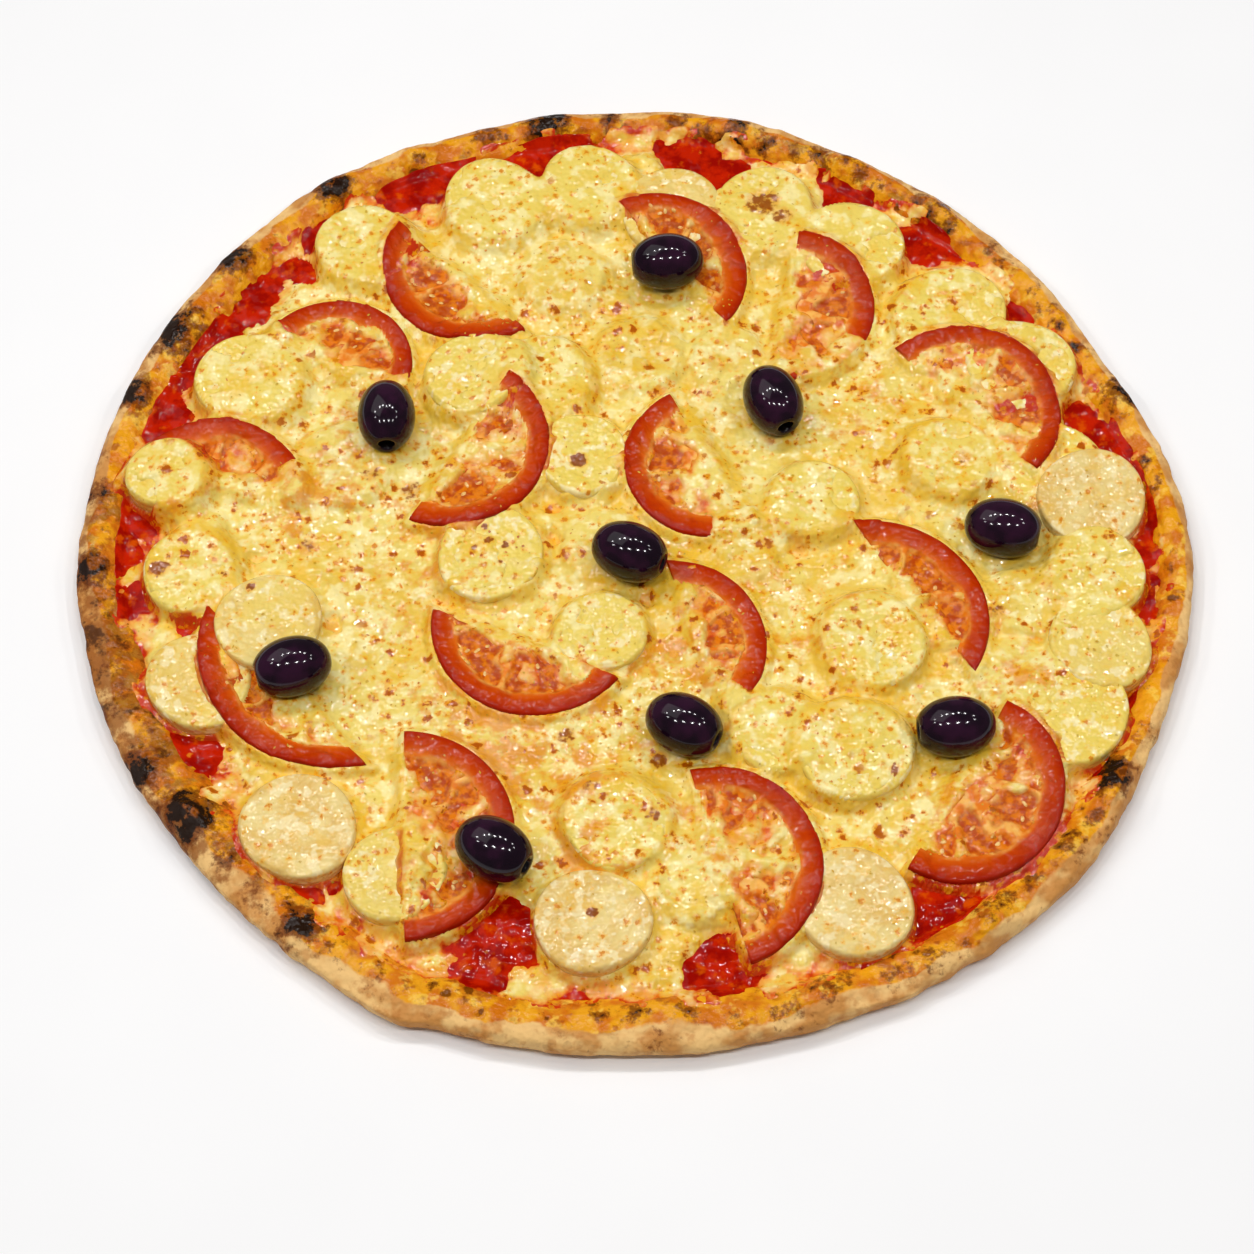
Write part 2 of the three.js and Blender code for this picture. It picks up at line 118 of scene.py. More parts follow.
# Slices of tomato: the round's x, y and radius, the way the round side faces, how much of the round is
# left in degrees, how far the cheese covers its flesh (-1 bare, 1 all over), first spoke, spokes a turn,
# and from where to where its red wall is clear of cheese, in degrees from the way it faces.
TOMATOES = [
    [-47, 108, 32, 222, 152, 0.45, 10, 9, -99, 99], [11, 100, 31, 34, 152, 0.35, 20, 9, -99, 99],
    [54, 85, 29, -12, 180, 0.15, 8, 7, -16, 99], [-95, 70, 26, 55, 178, 0.3, 25, 8, -66, 82],
    [-134, 20, 31, 79, 160, 0.2, -5, 7, -50, 50], [-56, 37, 31, -33, 170, 0.5, 20, 7, -99, 99],
    [27, 27, 29, 207, 180, 0.35, 15, 8, -99, 58], [106, 39, 33, 38, 170, 0.45, 20, 9, -99, 99],
    [73, -34, 36, 31, 130, 0.4, 15, 9, -99, 99], [9, -40, 31, 17, 143, 0.6, 20, 9, -52, 99],
    [-31, -29, 33, 244, 149, 0.15, 5, 7, -99, 99], [-92, -33, 44, 221, 120, 0.7, 10, 9, -99, 99],
    [-74, -100, 35, 0, 174, 0.25, 10, 7, -99, 99], [19, -115, 33, 13, 172, 0.45, 20, 13, -99, 99],
    [94, -92, 32, -33, 180, 0.45, 20, 8, -99, 99],
]
# Small holes in the cheese with oil and sauce in them: x, y, radius.
HOLES = [
    [-25, 15, 4], [-26, 2, 3.5], [-95, -24, 4], [-28, -22, 3], [3, -20, 4], [52, -5, 4], [-62, -18, 4],
    [88, 4, 3], [-118, 0, 2.5], [20, -86, 4],
]
# Charred places on the rim: x, y, radius, strength.
CHARS = [
    [-66, 151, 4, 0.5], [-96, 143, 7, 1], [-93, 138, 4, 0.5], [-129, 114, 7, 1], [-115, 122, 4, 0.4],
    [-148, 88, 10, 1], [-140, 85, 5, 0.5], [-161, 63, 7, 1], [-170, 26, 5, 0.6], [-171, -3, 6, 1],
    [-160, 33, 4, 0.4], [-160, -52, 6, 0.4], [-153, -73, 7, 1], [-137, -90, 10, 1], [-126, -105, 6, 0.5],
    [-118, -115, 5, 0.4], [-103, -127, 7, 1], [-93, -135, 4, 0.5], [-80, -144, 5, 0.3],
    [-70, -148, 3, 0.4], [-64, -148, 3, 0.4], [-55, -152, 4, 0.4], [-37, -150, 5, 0.4],
    [-33, -139, 4, 0.4], [-16, -159, 4, 0.4], [-6, -158, 5, 0.5], [9, -160, 5, 0.5], [1, -167, 4, 0.4],
    [25, -162, 4, 0.3], [38, -163, 5, 0.5], [49, -155, 5, 0.5], [55, -153, 4, 0.4], [69, -152, 4, 0.4],
    [74, -150, 4, 0.4], [81, -147, 5, 0.5], [90, -145, 4, 0.4], [99, -133, 5, 0.5], [104, -129, 5, 0.5],
    [112, -123, 5, 0.5], [124, -112, 6, 0.6], [135, -104, 5, 0.5], [140, -90, 7, 1], [142, -95, 5, 0.4],
    [154, -76, 4, 0.3], [160, -50, 4, 0.3], [167, -18, 4, 0.4], [165, 12, 5, 0.5], [163, 20, 4, 0.4],
    [162, 47, 8, 1], [147, 65, 4, 0.5], [143, 74, 4, 0.5], [138, 82, 4, 0.5], [135, 87, 4, 0.4],
    [126, 100, 4, 0.5], [123, 106, 4, 0.5], [101, 125, 4, 0.6], [107, 123, 4, 0.6], [110, 117, 4, 0.6],
    [103, 119, 6, 0.6], [89, 134, 4, 0.4], [71, 146, 5, 0.6], [77, 146, 5, 0.6], [83, 138, 4, 0.6],
    [67, 149, 4, 0.5], [61, 150, 4, 0.4], [22, 165, 5, 0.6], [29, 161, 5, 0.6], [42, 162, 5, 0.6],
    [52, 155, 5, 0.6], [39, 155, 6, 1], [0, 168, 6, 0.6], [-23, 167, 8, 1], [-43, 164, 6, 0.6],
    [-160, -35, 8, 0.3], [-148, -62, 9, 0.3], [-145, -84, 7, 0.4], [-112, -121, 6, 0.3],
]
# Patches of bare sauce up the inside of the rim: x, y, radius.
RED_PATCHES = [
    [-68, 148, 17], [-53, 150, 10], [-28, 153, 12], [-13, 158, 9], [24, 150, 14], [35, 142, 12],
    [80, 134, 12], [77, 141, 8], [101, 112, 14], [128, 80, 10], [143, 42, 10], [155, 30, 12],
    [161, 15, 10], [162, 2, 10], [159, -10, 10], [155, -27, 12], [150, -62, 12], [142, -83, 10],
    [84, -133, 16], [67, -145, 9], [21, -147, 14], [-45, -130, 17], [-51, -146, 10], [-103, -113, 10],
    [-93, -108, 9], [-138, -65, 10], [-140, -21, 8], [-160, 20, 10], [-165, 5, 12], [-158, -12, 10],
    [-153, 57, 14], [-141, 75, 12], [-134, 85, 12], [-120, 105, 9], [-123, 97, 8], [-106, 112, 8],
    [-100, 122, 8],
]
# Browned spots on slices and cheese: x, y, radius, strength.
BROWNED = [
    [-149, -5, 4.5, 1], [-120, -14, 2.2, 1], [-128, -8, 1.8, 0.7], [-16, 28, 3.8, 1], [-45, 0, 2.2, 0.9],
    [-50, -3, 1.8, 0.7], [-40, -2, 1.8, 0.8], [-42, -8, 1.5, 0.7], [-46, 5, 1.6, 0.8],
    [-17, -129, 2.4, 0.8], [49, 127, 8, 0.75], [55, 121, 5, 0.65], [75, -87, 2.2, 1], [-23, -68, 4, 0.7],
    [5, -78, 4, 0.7], [-16, -88, 3.5, 0.7], [2, -98, 3.5, 0.7], [112, -33, 3, 0.5], [106, 22, 4, 0.5],
    [-82, 27, 5, 0.5], [-70, 22, 5, 0.5], [-103, 3, 4, 0.5],
]


# ---------------------------------------------------------------- rules of shape
def blend(t, low, high):
    """Smooth 0 to 1 as t goes from low to high; low may be the larger."""
    s = np.clip((t - low) / (high - low), 0, 1)
    return s * s * (3 - 2 * s)


def uneven(x, y, seed):
    """Gentle unevenness between -1 and 1, as in the solids."""
    return (
        np.sin(x * 0.083 + y * 0.051 + seed) * 0.5
        + np.sin(y * 0.121 - x * 0.037 + seed * 2.3) * 0.3
        + np.sin(x * 0.171 + y * 0.147 + seed * 4.1) * 0.2
    )


def lumps(x, y, size, seed):
    """Random unevenness between -1 and 1 whose lumps are about that size."""
    turn = seed * 1.7
    u = (x * math.cos(turn) - y * math.sin(turn)) / size + seed * 17.13
    v = (x * math.sin(turn) + y * math.cos(turn)) / size - seed * 9.71
    i, j = np.floor(u), np.floor(v)
    fu, fv = blend(u - i, 0, 1), blend(v - j, 0, 1)

    def corner(a, b):
        h = np.sin((i + a) * 127.1 + (j + b) * 311.7 + seed * 74.7) * 43758.5453
        return 2 * (h - np.floor(h)) - 1

    near = corner(0, 0) * (1 - fu) + corner(1, 0) * fu
    far = corner(0, 1) * (1 - fu) + corner(1, 1) * fu
    return near * (1 - fv) + far * fv


def rough(x, y, size, seed, finer=3):
    """Lumps with smaller lumps on them."""
    return sum(lumps(x, y, size / 2**k, seed + 3.7 * k) * 0.55**k for k in range(finer))


def spots(x, y, table, soft=0.45, wobble=0.0, seed=1):
    """The strongest of the round spots in a table of x, y, radius and maybe strength."""
    most = np.zeros_like(x)
    for spot in table:
        sx, sy, r = spot[:3]
        near = (abs(x - sx) < 2.2 * r + 2) & (abs(y - sy) < 2.2 * r + 2)
        if not near.any():
            continue
        px, py = x[near], y[near]
        away = np.hypot(px - sx, py - sy) + wobble * rough(px, py, max(0.8 * r, 3), seed, 4)
        strength = spot[3] if len(spot) > 3 else 1
        most[near] = np.maximum(most[near], strength * blend(away, r, r * soft))
    return most


def outline_at(angle, what):
    """The outline's radius (1) or the rim's width (2) at angles in radians."""
    degrees = np.degrees(angle) % 360
    rows = np.array([*OUTLINE, [360, *OUTLINE[0][1:]]], float)
    after = np.searchsorted(rows[:, 0], degrees, side="right").clip(1, len(rows) - 1)
    a, b = rows[after - 1], rows[after]
    return a[..., what] + (b[..., what] - a[..., what]) * blend(degrees, a[..., 0], b[..., 0])


def rim_height(x, y):
    """The height of the rim's crest with its blisters."""
    raised = [h * (1 - blend(np.hypot(x - bx, y - by), 0, r * 1.6)) for bx, by, r, h in BLISTERS]
    return RIM + 1.1 * uneven(x, y, 1) + np.max(raised, axis=0)


def rim_place(angle):
    """The outline's radius and the rim's width at an angle, with their unevenness."""
    c, s = np.cos(angle), np.sin(angle)
    width = outline_at(angle, 2) * (1 + 0.1 * uneven(90 * c, 90 * s, 5))
    return outline_at(angle, 1), width, 0.7 * uneven(170 * c, 170 * s, 9)


def smooth_profile(stations, between):
    """More stations on a smooth line through the given ones."""
    p = np.array([stations[0], *stations, stations[-1]], float)
    out = []
    for i in range(1, len(p) - 2):
        for t in np.linspace(0, 1, between, endpoint=False):
            a, b, c, d = p[i - 1 : i + 3]
            bend = (2 * a - 5 * b + 4 * c - d) * t**2 + (3 * b - a - 3 * c + d) * t**3
            out.append(0.5 * (2 * b + (c - a) * t + bend))
    out.append(p[-2])
    return np.array(out)


# The rim's cross-section from under the edge up and over to its foot: shares of its width and its height.
RIM_PROFILE = [
    [0.55, 0], [0.2, 0.09], [0.04, 0.3], [0, 0.5], [0.09, 0.8], [0.3, 0.99], [0.52, 0.95], [0.78, 0.62],
    [1, 0],
]
RIM_LINE = smooth_profile(RIM_PROFILE, 6)


def dough_top(x, y):
    """Height of the dough's upper side and how far a place is across the rim, 1 at its foot."""
    radius, width, _ = rim_place(np.arctan2(y, x))
    across = (radius - np.hypot(x, y)) / width
    over = RIM_LINE[RIM_LINE[:, 1].argmax() :]
    share = np.interp(across, over[:, 0], over[:, 1])
    return DOUGH + (rim_height(x, y) - DOUGH) * share, across


def cheese_reach(angle):
    """How far out from the middle the thick cheese goes."""
    degrees = np.degrees(angle)
    short = [
        depth * (1 - blend(abs((degrees - at + 540) % 360 - 180), 0, half * 1.7))
        for at, depth, half in BARE
    ]
    ragged = 1.6 * np.sin(angle * 11 + 1) + 1.2 * np.sin(angle * 23)
    return outline_at(angle, 1) - 1.15 * outline_at(angle, 2) - 1.5 + ragged - np.max(short, axis=0)


def cheese_top(x, y):
    """The cheese's upper side, with low bumps where it hides a slice."""
    hidden = [BURIED_RISE * (1 - blend(np.hypot(x - bx, y - by), r - 3, r + 3)) for bx, by, r in BURIED]
    return CHEESE_FLOOR + CHEESE + 0.5 * uneven(x * 1.6, y * 1.6, 3) + np.max(hidden, axis=0)


# ---------------------------------------------------------------- how the toppings lie
def palm_lie(slice_, earlier):
    """How a slice lies: tilted by the slices that were laid before it and reach under it."""
    x, y, r = slice_[:3]
    slope_x = slope_y = 0.0
    for ex, ey, er, _ in earlier:
        away = math.hypot(ex - x, ey - y)
        overlap = r + er - away
        if overlap > 0:
            slope = min(0.012 * overlap, 0.14)
            slope_x += slope * (ex - x) / away
            slope_y += slope * (ey - y) / away
    z = CHEESE_FLOOR + 1.06 * r * math.hypot(slope_x, slope_y)
    return {"x": x, "y": y, "r": r, "z": z, "slope": (slope_x, slope_y), "cover": slice_[3]}


def palm_plane(lie, x, y):
    """Height of the slice's upper side, carried on beyond its edge."""
    return lie["z"] + PALM + lie["slope"][0] * (x - lie["x"]) + lie["slope"][1] * (y - lie["y"])


def palm_round(lie, angle):
    """The radius of the slice's uneven edge at an angle."""
    return lie["r"] * (1 + 0.035 * np.sin(2 * angle + lie["x"]) + 0.02 * np.sin(3 * angle + lie["y"]))


def palm_edge(lie, x, y):
    """How far inside the slice's uneven edge a place is."""
    dx, dy = x - lie["x"], y - lie["y"]
    return palm_round(lie, np.arctan2(dy, dx)) - np.hypot(dx, dy)


def palm_top(lie, x, y):
    """The slice's upper side, and 0 beside it."""
    inside = np.hypot(x - lie["x"], y - lie["y"]) <= lie["r"]
    return np.where(inside, palm_plane(lie, x, y), 0)


def highest(tops, x, y):
    """The height of whatever is uppermost."""
    return np.max([cheese_top(x, y), *(top(x, y) for top in tops)], axis=0)


def support(tops, x, y, spread=SOFTNESS):
    """The height on which something soft lies, which evens out what is below."""
    total = highest(tops, x, y)
    for i in range(8):
        a = i * math.pi / 4
        total = total + highest(tops, x + spread * math.cos(a), y + spread * math.sin(a))
    return total / 9


def to_facing(facing, dx, dy):
    """How far forward and sideways a place is for something that faces that way, in degrees."""
    c, s = math.cos(math.radians(facing)), math.sin(math.radians(facing))
    return dx * c + dy * s, dy * c - dx * s


def from_facing(facing, forward, sideways):
    """The other way round: how far right and away from the diner."""
    c, s = math.cos(math.radians(facing)), math.sin(math.radians(facing))
    return forward * c - sideways * s, forward * s + sideways * c


def tomato_cut(slice_):
    """How far the straight cut is from the round's middle."""
    return slice_[2] * math.cos(math.radians(slice_[4] / 2))


def tomato_polar(slice_, x, y):
    """Distance in from the skin, distance from the cut edge, and the place round the slice."""
    cx, cy, r, facing = slice_[:4]
    forward, sideways = to_facing(facing, x - cx, y - cy)
    return r - np.hypot(x - cx, y - cy), forward - tomato_cut(slice_), np.arctan2(sideways, forward)


def tomato_parts(slice_, x, y):
    """How much of a place is hollow with jelly, and how much is wall."""
    cx, cy, r = slice_[:3]
    first, count = slice_[6:8]
    inset, _, round_ = tomato_polar(slice_, x, y)
    out = np.clip(r - inset, 0.1, None)
    bent = round_ + 0.16 * rough(x, y, 9, cx * 0.1, 2) + math.radians(first)
    turn = (bent * count / (2 * math.pi)) % 1
    off_spoke = np.minimum(turn, 1 - turn) * 2 * math.pi / count * out
    spoke = 1.0 + 0.6 * lumps(x, y, 6, cy * 0.1)
    wall = SKIN + 2.6 + 1.1 * rough(x, y, 9, 3 + cx * 0.1, 2)
    core = 0.3 * r + 3.5 * rough(x, y, 12, 5 + cy * 0.1, 2)
    hollow = blend(off_spoke, spoke, spoke + 1.6) * blend(inset, wall, wall + 1.6)
    hollow = hollow * blend(out, core, core + 3)
    return hollow, 1 - blend(inset, wall - 0.6, wall + 0.9)


def tomato_relief(slice_, x, y):
    """The slice's upper side above what it lies on."""
    hollow, wall = tomato_parts(slice_, x, y)
    inset, _, _ = tomato_polar(slice_, x, y)
    crown = 0.35 * np.clip(1 - ((inset - 2.8) / 2.8) ** 2, 0, 1)
    flat = TOMATO * (0.86 + 0.06 * wall) + crown - 1.1 * hollow
    return flat - SINK + GAP + 0.15 * rough(x, y, 4, 8, 2)


# The toppings are laid in turn, each on what is there already.
lies, tops = [], []
for i, palm in enumerate(PALMS):
    lies.append(palm_lie(palm, PALMS[:i]))
    tops.append(lambda x, y, lie=lies[-1]: palm_top(lie, x, y))

beds = []
for slice_ in TOMATOES:
    below = list(tops)
    beds.append(lambda x, y, below=below: support(below, x, y))

    def top(x, y, slice_=slice_, bed=beds[-1]):
        inset, past_cut, _ = tomato_polar(slice_, x, y)
        inside = (inset > 0) & (past_cut > 0)
        out = np.zeros_like(x + 0.0)
        if np.any(inside):
            out[inside] = bed(x[inside], y[inside]) - SINK + TOMATO
        return out

    tops.append(top)

for x, y, r, cover in UPPER_PALMS:
    reach = 0.65 * r
    held = support(tops, np.array([x + reach, x - reach, x, x]), np.array([y, y, y + reach, y - reach]))
    spread = support(tops, np.array([x * 1.0]), np.array([y * 1.0]), reach)[0]
    slope = ((held[0] - held[1]) / (2 * reach), (held[2] - held[3]) / (2 * reach))
    lies.append({"x": x, "y": y, "r": r, "z": spread - SINK, "slope": slope, "cover": cover})
    tops.append(lambda x, y, lie=lies[-1]: palm_top(lie, x, y))

palm_names = [f"palm_{i + 1:02d}" for i in range(len(lies))]
tomato_names = [f"tomato_{i + 1:02d}" for i in range(len(TOMATOES))]
olive_names = [f"olive_{i + 1}" for i in range(9)]
OLIVE_FACING = [183, 270, 288, 335, 194, 330, 183, 327, 345]


# ---------------------------------------------------------------- making meshes
def disc_grid(steps):
    """A square grid bent into a round of radius 1: its points, its faces and its border, anticlockwise."""
    t = np.linspace(-1, 1, steps + 1)
    a, b = np.meshgrid(t, t)
    wide = abs(a) > abs(b)
    r = np.where(wide, a, b)
    safe = np.where(r == 0, 1, r)
    phi = np.where(wide, math.pi / 4 * b / safe, math.pi / 2 - math.pi / 4 * a / safe)
    k = np.arange((steps + 1) ** 2).reshape(steps + 1, steps + 1)
    faces = np.stack([k[:-1, :-1], k[:-1, 1:], k[1:, 1:], k[1:, :-1]], -1).reshape(-1, 4)
    border = np.concatenate([k[0, :-1], k[:-1, -1], k[-1, :0:-1], k[:0:-1, 0]])
    return (r * np.cos(phi)).ravel(), (r * np.sin(phi)).ravel(), faces, border


def make_piece(name, points, faces, paint, nodes, marks):
    """A finished piece from points in millimetres, with named marks that its material reads."""
    mesh = bpy.data.meshes.new(name)
    mesh.from_pydata((np.asarray(points) * MM).tolist(), [], faces)
    mesh.polygons.foreach_set("use_smooth", np.ones(len(mesh.polygons), bool))
    write_marks(mesh, marks)
    mesh.materials.append(paint)
    mesh.validate()
    hand_over(place(name, mesh), nodes)


def write_marks(mesh, marks):
    for key, values in marks.items():
        layer = mesh.attributes.new(key, "FLOAT", "POINT")
        layer.data.foreach_set("value", np.asarray(values, np.float32))


def place(name, data):
    """Puts an object with that mesh, lamp or camera into the scene."""
    made = bpy.data.objects.new(name, data)
    bpy.context.scene.collection.objects.link(made)
    return made


def hand_over(piece, nodes=()):
    """Hangs a finished piece on the root body and hides the parts that it stands for."""
    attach(piece, "root")
    if nodes:
        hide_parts(*nodes)


def slab(x, y, z, faces, border, floor):
    """Closes a sheet of points with an edge down to a flat underside at that height."""
    points = np.column_stack([x, y, z])
    under = np.column_stack([x[border], y[border], np.full(len(border), floor)])
    below = np.arange(len(border)) + len(x)
    sides = np.column_stack([border, below, np.roll(below, -1), np.roll(border, -1)])
    return np.vstack([points, under]), [*faces.tolist(), *sides.tolist(), below[::-1].tolist()]


def padded_marks(marks, extra):
    """Marks for the points of an underside too."""
    return {key: np.concatenate([values, np.zeros(extra)]) for key, values in marks.items()}


def circle(columns):
    return np.arange(columns) * 2 * math.pi / columns


def ring_faces(rings, columns, closed=True):
    """Faces of rings of points that follow a first single point and end in a last one."""
    faces = []
    across = columns if closed else columns + 1

    def at(k, j):
        return 1 + k * across + (j % across)

    last = 1 + rings * across
    for j in range(columns):
        faces.append([0, at(0, j + 1), at(0, j)])
        faces.extend([at(k, j), at(k, j + 1), at(k + 1, j + 1), at(k + 1, j)] for k in range(rings - 1))
        faces.append([at(rings - 1, j), at(rings - 1, j + 1), last])
    return faces


# ---------------------------------------------------------------- materials
def colour(r, g, b):
    """A colour given as it shows on a screen, 0 to 255, as the light values a shader takes."""
    return (*(((c / 255 + 0.055) / 1.055) ** 2.4 if c > 10 else c / 255 / 12.92 for c in (r, g, b)), 1.0)


class Field:
    """A value that varies over a surface: a socket on which expressions build Math nodes."""

    def __init__(self, paint, socket):
        self.paint, self.socket = paint, socket

    def math(self, operation, *values):
        return self.paint.node("ShaderNodeMath", {"operation": operation}, dict(enumerate(values)))

    def __add__(self, other):
        return self.math("ADD", self, other)

    def __sub__(self, other):
        return self.math("SUBTRACT", self, other)

    def __rsub__(self, other):
        return self.math("SUBTRACT", other, self)

    def __mul__(self, other):
        return self.math("MULTIPLY", self, other)

    __radd__ = __add__
    __rmul__ = __mul__

    def most(self, other):
        return self.math("MAXIMUM", self, other)


def give(tree, socket, value):
    """Links a socket to another one, or sets its value."""
    if isinstance(value, Field):
        value = value.socket
    if isinstance(value, bpy.types.NodeSocket):
        tree.links.new(value, socket)
    else:
        socket.default_value = value


def add_node(tree, kind, settings=None, inputs=None):
    """A node with its settings, and then the values or links of its sockets."""
    made = tree.nodes.new(kind)
    for key, value in (settings or {}).items():
        setattr(made, key, value)
    for key, value in (inputs or {}).items():
        give(tree, made.inputs[key], value)
    return made


class Paint:
    """A material and the few ways in which this pizza's materials are written."""

    def __init__(self, name):
        self.material = bpy.data.materials.new(name)
        self.material.use_nodes = True
        self.tree = self.material.node_tree
        self.tree.nodes.clear()
        self.shader = add_node(self.tree, "ShaderNodeBsdfPrincipled")
        add_node(self.tree, "ShaderNodeOutputMaterial", None, {"Surface": self.shader.outputs[0]})
        self.place = self.node("ShaderNodeTexCoord", None, None, "Object")

    def node(self, kind, settings=None, inputs=None, output=0):
        return Field(self, add_node(self.tree, kind, settings, inputs).outputs[output])

    def same(self, field, output):
        """Another output of the node behind a value."""
        return Field(self, field.socket.node.outputs[output])

    def marks(self, *names):
        """The values that the mesh carries under those names."""
        return [self.node("ShaderNodeAttribute", {"attribute_name": name}, None, "Fac") for name in names]

    def noise(self, size, detail=2, roughness=0.6):
        """Noise from 0 to 1 whose lumps are about that many millimetres."""
        values = {"Scale": 1 / (size * MM), "Detail": detail, "Roughness": roughness}
        return self.node("ShaderNodeTexNoise", None, {"Vector": self.place, **values})

    def step(self, value, low, high):
        """Smooth 0 to 1 as the value goes from low to high."""
        settings = {"interpolation_type": "SMOOTHSTEP", "clamp": True}
        return self.node("ShaderNodeMapRange", settings, {0: value, 1: low, 2: high, 3: 0.0, 4: 1.0})

    def patches(self, size, low, high, detail=2, roughness=0.6):
        """Patches about that many millimetres across, where the noise passes low to high."""
        return self.step(self.noise(size, detail, roughness), low, high)

    def torn(self, value, low, high, by, size, detail=2, roughness=0.6):
        """A step whose edge is torn by noise of that strength and size."""
        return self.step(value + (self.noise(size, detail, roughness) - 0.5) * by, low, high)

    def flecks(self, apart, radius, share, ragged=1.0):
        """How deep a place lies in scattered flecks, in millimetres, below 0 outside; a share is kept."""
        away = self.node("ShaderNodeTexVoronoi", None, {"Vector": self.place, "Scale": 1 / (apart * MM)})
        drawn = self.node("ShaderNodeSeparateColor", None, {0: self.same(away, 1)})
        kept = self.step(drawn, 1.02 - share, 1.06 - share)
        reach = (self.same(drawn, 1) * 0.7 + 0.3) * radius
        uneven_edge = (self.noise(radius * 1.2) - 0.5) * (2 * ragged * radius)
        return reach + uneven_edge - away * apart + (kept - 1.0) * 9

    def mix(self, share, first, second):
        """A colour between two, each a value or three numbers."""
        first, second = (colour(*c) if isinstance(c, tuple) else c for c in (first, second))
        return self.node("ShaderNodeMix", {"data_type": "RGBA"}, {0: share, 6: first, 7: second}, 2)

    def coats(self, base, *coats):
        """Colours laid over a base one after the other, each with its share."""
        for share, shade in coats:
            base = self.mix(share, base, shade)
        return base

    def relief(self, height, depth, strength=1.0):
        """A bump of that depth in millimetres."""
        values = {"Height": height, "Distance": depth * MM, "Strength": strength}
        return self.node("ShaderNodeBump", None, values)

    def finish(self, **sockets):
        for key, value in sockets.items():
            give(self.tree, self.shader.inputs[key.replace("_", " ")], value)
        return self.material

    def moist(self, base, lump, depth, film, ior, glow, spread):
        """The finish of wet food: a gently wavy film of oil, and light that goes a little way in."""
        return self.finish(
            Base_Color=base, Normal=self.relief(self.noise(lump, 1, 0.5), depth), IOR=ior,
            Roughness=0.06 + 0.08 * self.patches(film, 0.45, 0.6, 1, 0.5),
            Subsurface_Weight=glow, Subsurface_Radius=spread, Subsurface_Scale=MM,
        )


def cheese_paint():
    p = Paint("melted_cheese")
    film, red, oil, toast = p.marks("film", "red_below", "oil", "toast")
    browned, over_palm = p.marks("browned", "over_palm")
    small, large = p.flecks(2.9, 1.05, 0.62, 1.7), p.flecks(5.0, 1.8, 0.62, 1.7)
    green = p.flecks(3.1, 0.65, 0.5)
    toasted = p.step(toast, -0.1, 0.3)
    base = p.coats(
        p.mix(p.patches(14, 0.4, 0.62, 2, 0.5), (241, 215, 112), (235, 196, 80)),
        (over_palm * 0.65, (238, 211, 98)),
        # pale cream patches: partly paler cheese and partly a painted highlight of the wet sheen
        (p.patches(5.5, 0.47, 0.62, 2, 0.55) * 0.8, (253, 237, 166)),
        # the oil yellow and the toasted amber also carry painted shade beside the toppings and round the
        # olives
        (p.torn(oil, 0.45, 0.85, 2.2, 9, 3) * 0.55, (240, 186, 24)),
        (p.torn(toast, 0.65, 1.2, 3.0, 7, 3, 0.65) * 0.7, (228, 130, 10)),
        # thinner and thinner over the red of the tomato and the sauce
        (p.torn(film, 1.0, 0.2, 1.3, 5) * red * 0.75, (240, 152, 52)),
        (p.torn(film, 0.45, 0.05, 1.0, 3.5) * red * 0.9, (222, 92, 4)),
        (p.torn(film, 0.2, 0.0, 0.5, 3) * red * 0.9, (196, 38, 0)),
        # golden rounds with a brown middle, and herbs
        (p.step(small, -0.8, 0.2) * 0.6, (244, 174, 12)),
        (p.step(small, 0.0, 0.5) * 0.8, (214, 124, 2)),
        (p.step(large, -1.0, 0.3) * toasted * 0.8, (238, 158, 10)),
        (p.step(large, 0.0, 0.7) * toasted, (182, 88, 0)),
        (p.step(green, 0.0, 0.25) * 0.7, (184, 142, 4)),
        (p.step(browned, 0.05, 0.6) * 0.55, (230, 148, 22)),
        (p.torn(browned, 0.42, 0.75, 1.6, 2.4) * 0.9, (146, 66, 2)),
    )
    return p.moist(base, 3.6, 1.15, 9, 1.46, 0.06, (1.0, 0.6, 0.25))


def sauce_paint():
    p = Paint("tomato_sauce")
    base = p.coats(
        p.mix(p.patches(7, 0.4, 0.6, 3), (150, 8, 0), (190, 30, 0)),
        (p.patches(6, 0.54, 0.7, 3) * 0.7, (220, 88, 0)),
        (p.step(p.flecks(6, 1.0, 0.3), -0.3, 0.3) * 0.5, (240, 160, 40)),
    )
    return p.finish(Base_Color=base, Roughness=0.07, Normal=p.relief(p.noise(4.5, 1, 0.4), 0.85), IOR=1.2)


def palm_paint():
    p = Paint("heart_of_palm")
    out, veil, browned, bare = p.marks("from_middle", "veil", "browned", "bareness")
    ring = p.node("ShaderNodeMath", {"operation": "SINE"}, {0: out * 2.2 + p.noise(9, 2, 0.5) * 5})
    small, green = p.flecks(3.3, 1.1, 0.55, 1.7), p.flecks(3.0, 0.65, 0.5)
    flesh = p.mix(p.patches(9, 0.38, 0.62, 2, 0.5), (238, 212, 138), (228, 188, 104))
    base = p.coats(
        p.mix(bare, (238, 210, 94), flesh),
        (p.step(ring, 0.2, 1.0) * 0.07, (206, 148, 66)),
        (p.torn(veil, 0.35, 0.75, 1.0, 5) * 0.6, (240, 210, 100)),
        (p.patches(8, 0.52, 0.66, 3) * 0.35, (240, 184, 40)),
        # pale cream patches: partly paler flesh and partly a painted highlight of the wet sheen
        (p.patches(4.5, 0.52, 0.64) * 0.65, (253, 238, 186)),
        (p.step(small, -0.9, 0.2) * 0.5, (244, 176, 20)),
        (p.step(small, 0.0, 0.5) * 0.8, (212, 122, 4)),
        (p.step(green, 0.0, 0.25) * 0.7, (184, 144, 6)),
        (p.step(browned, 0.05, 0.5) * 0.5, (236, 160, 26)),
        (p.torn(browned, 0.42, 0.7, 1.2, 2.2) * 0.92, (138, 60, 2)),
    )
    return p.moist(base, 3.0, 0.95, 7, 1.46, 0.08, (1.0, 0.7, 0.35))


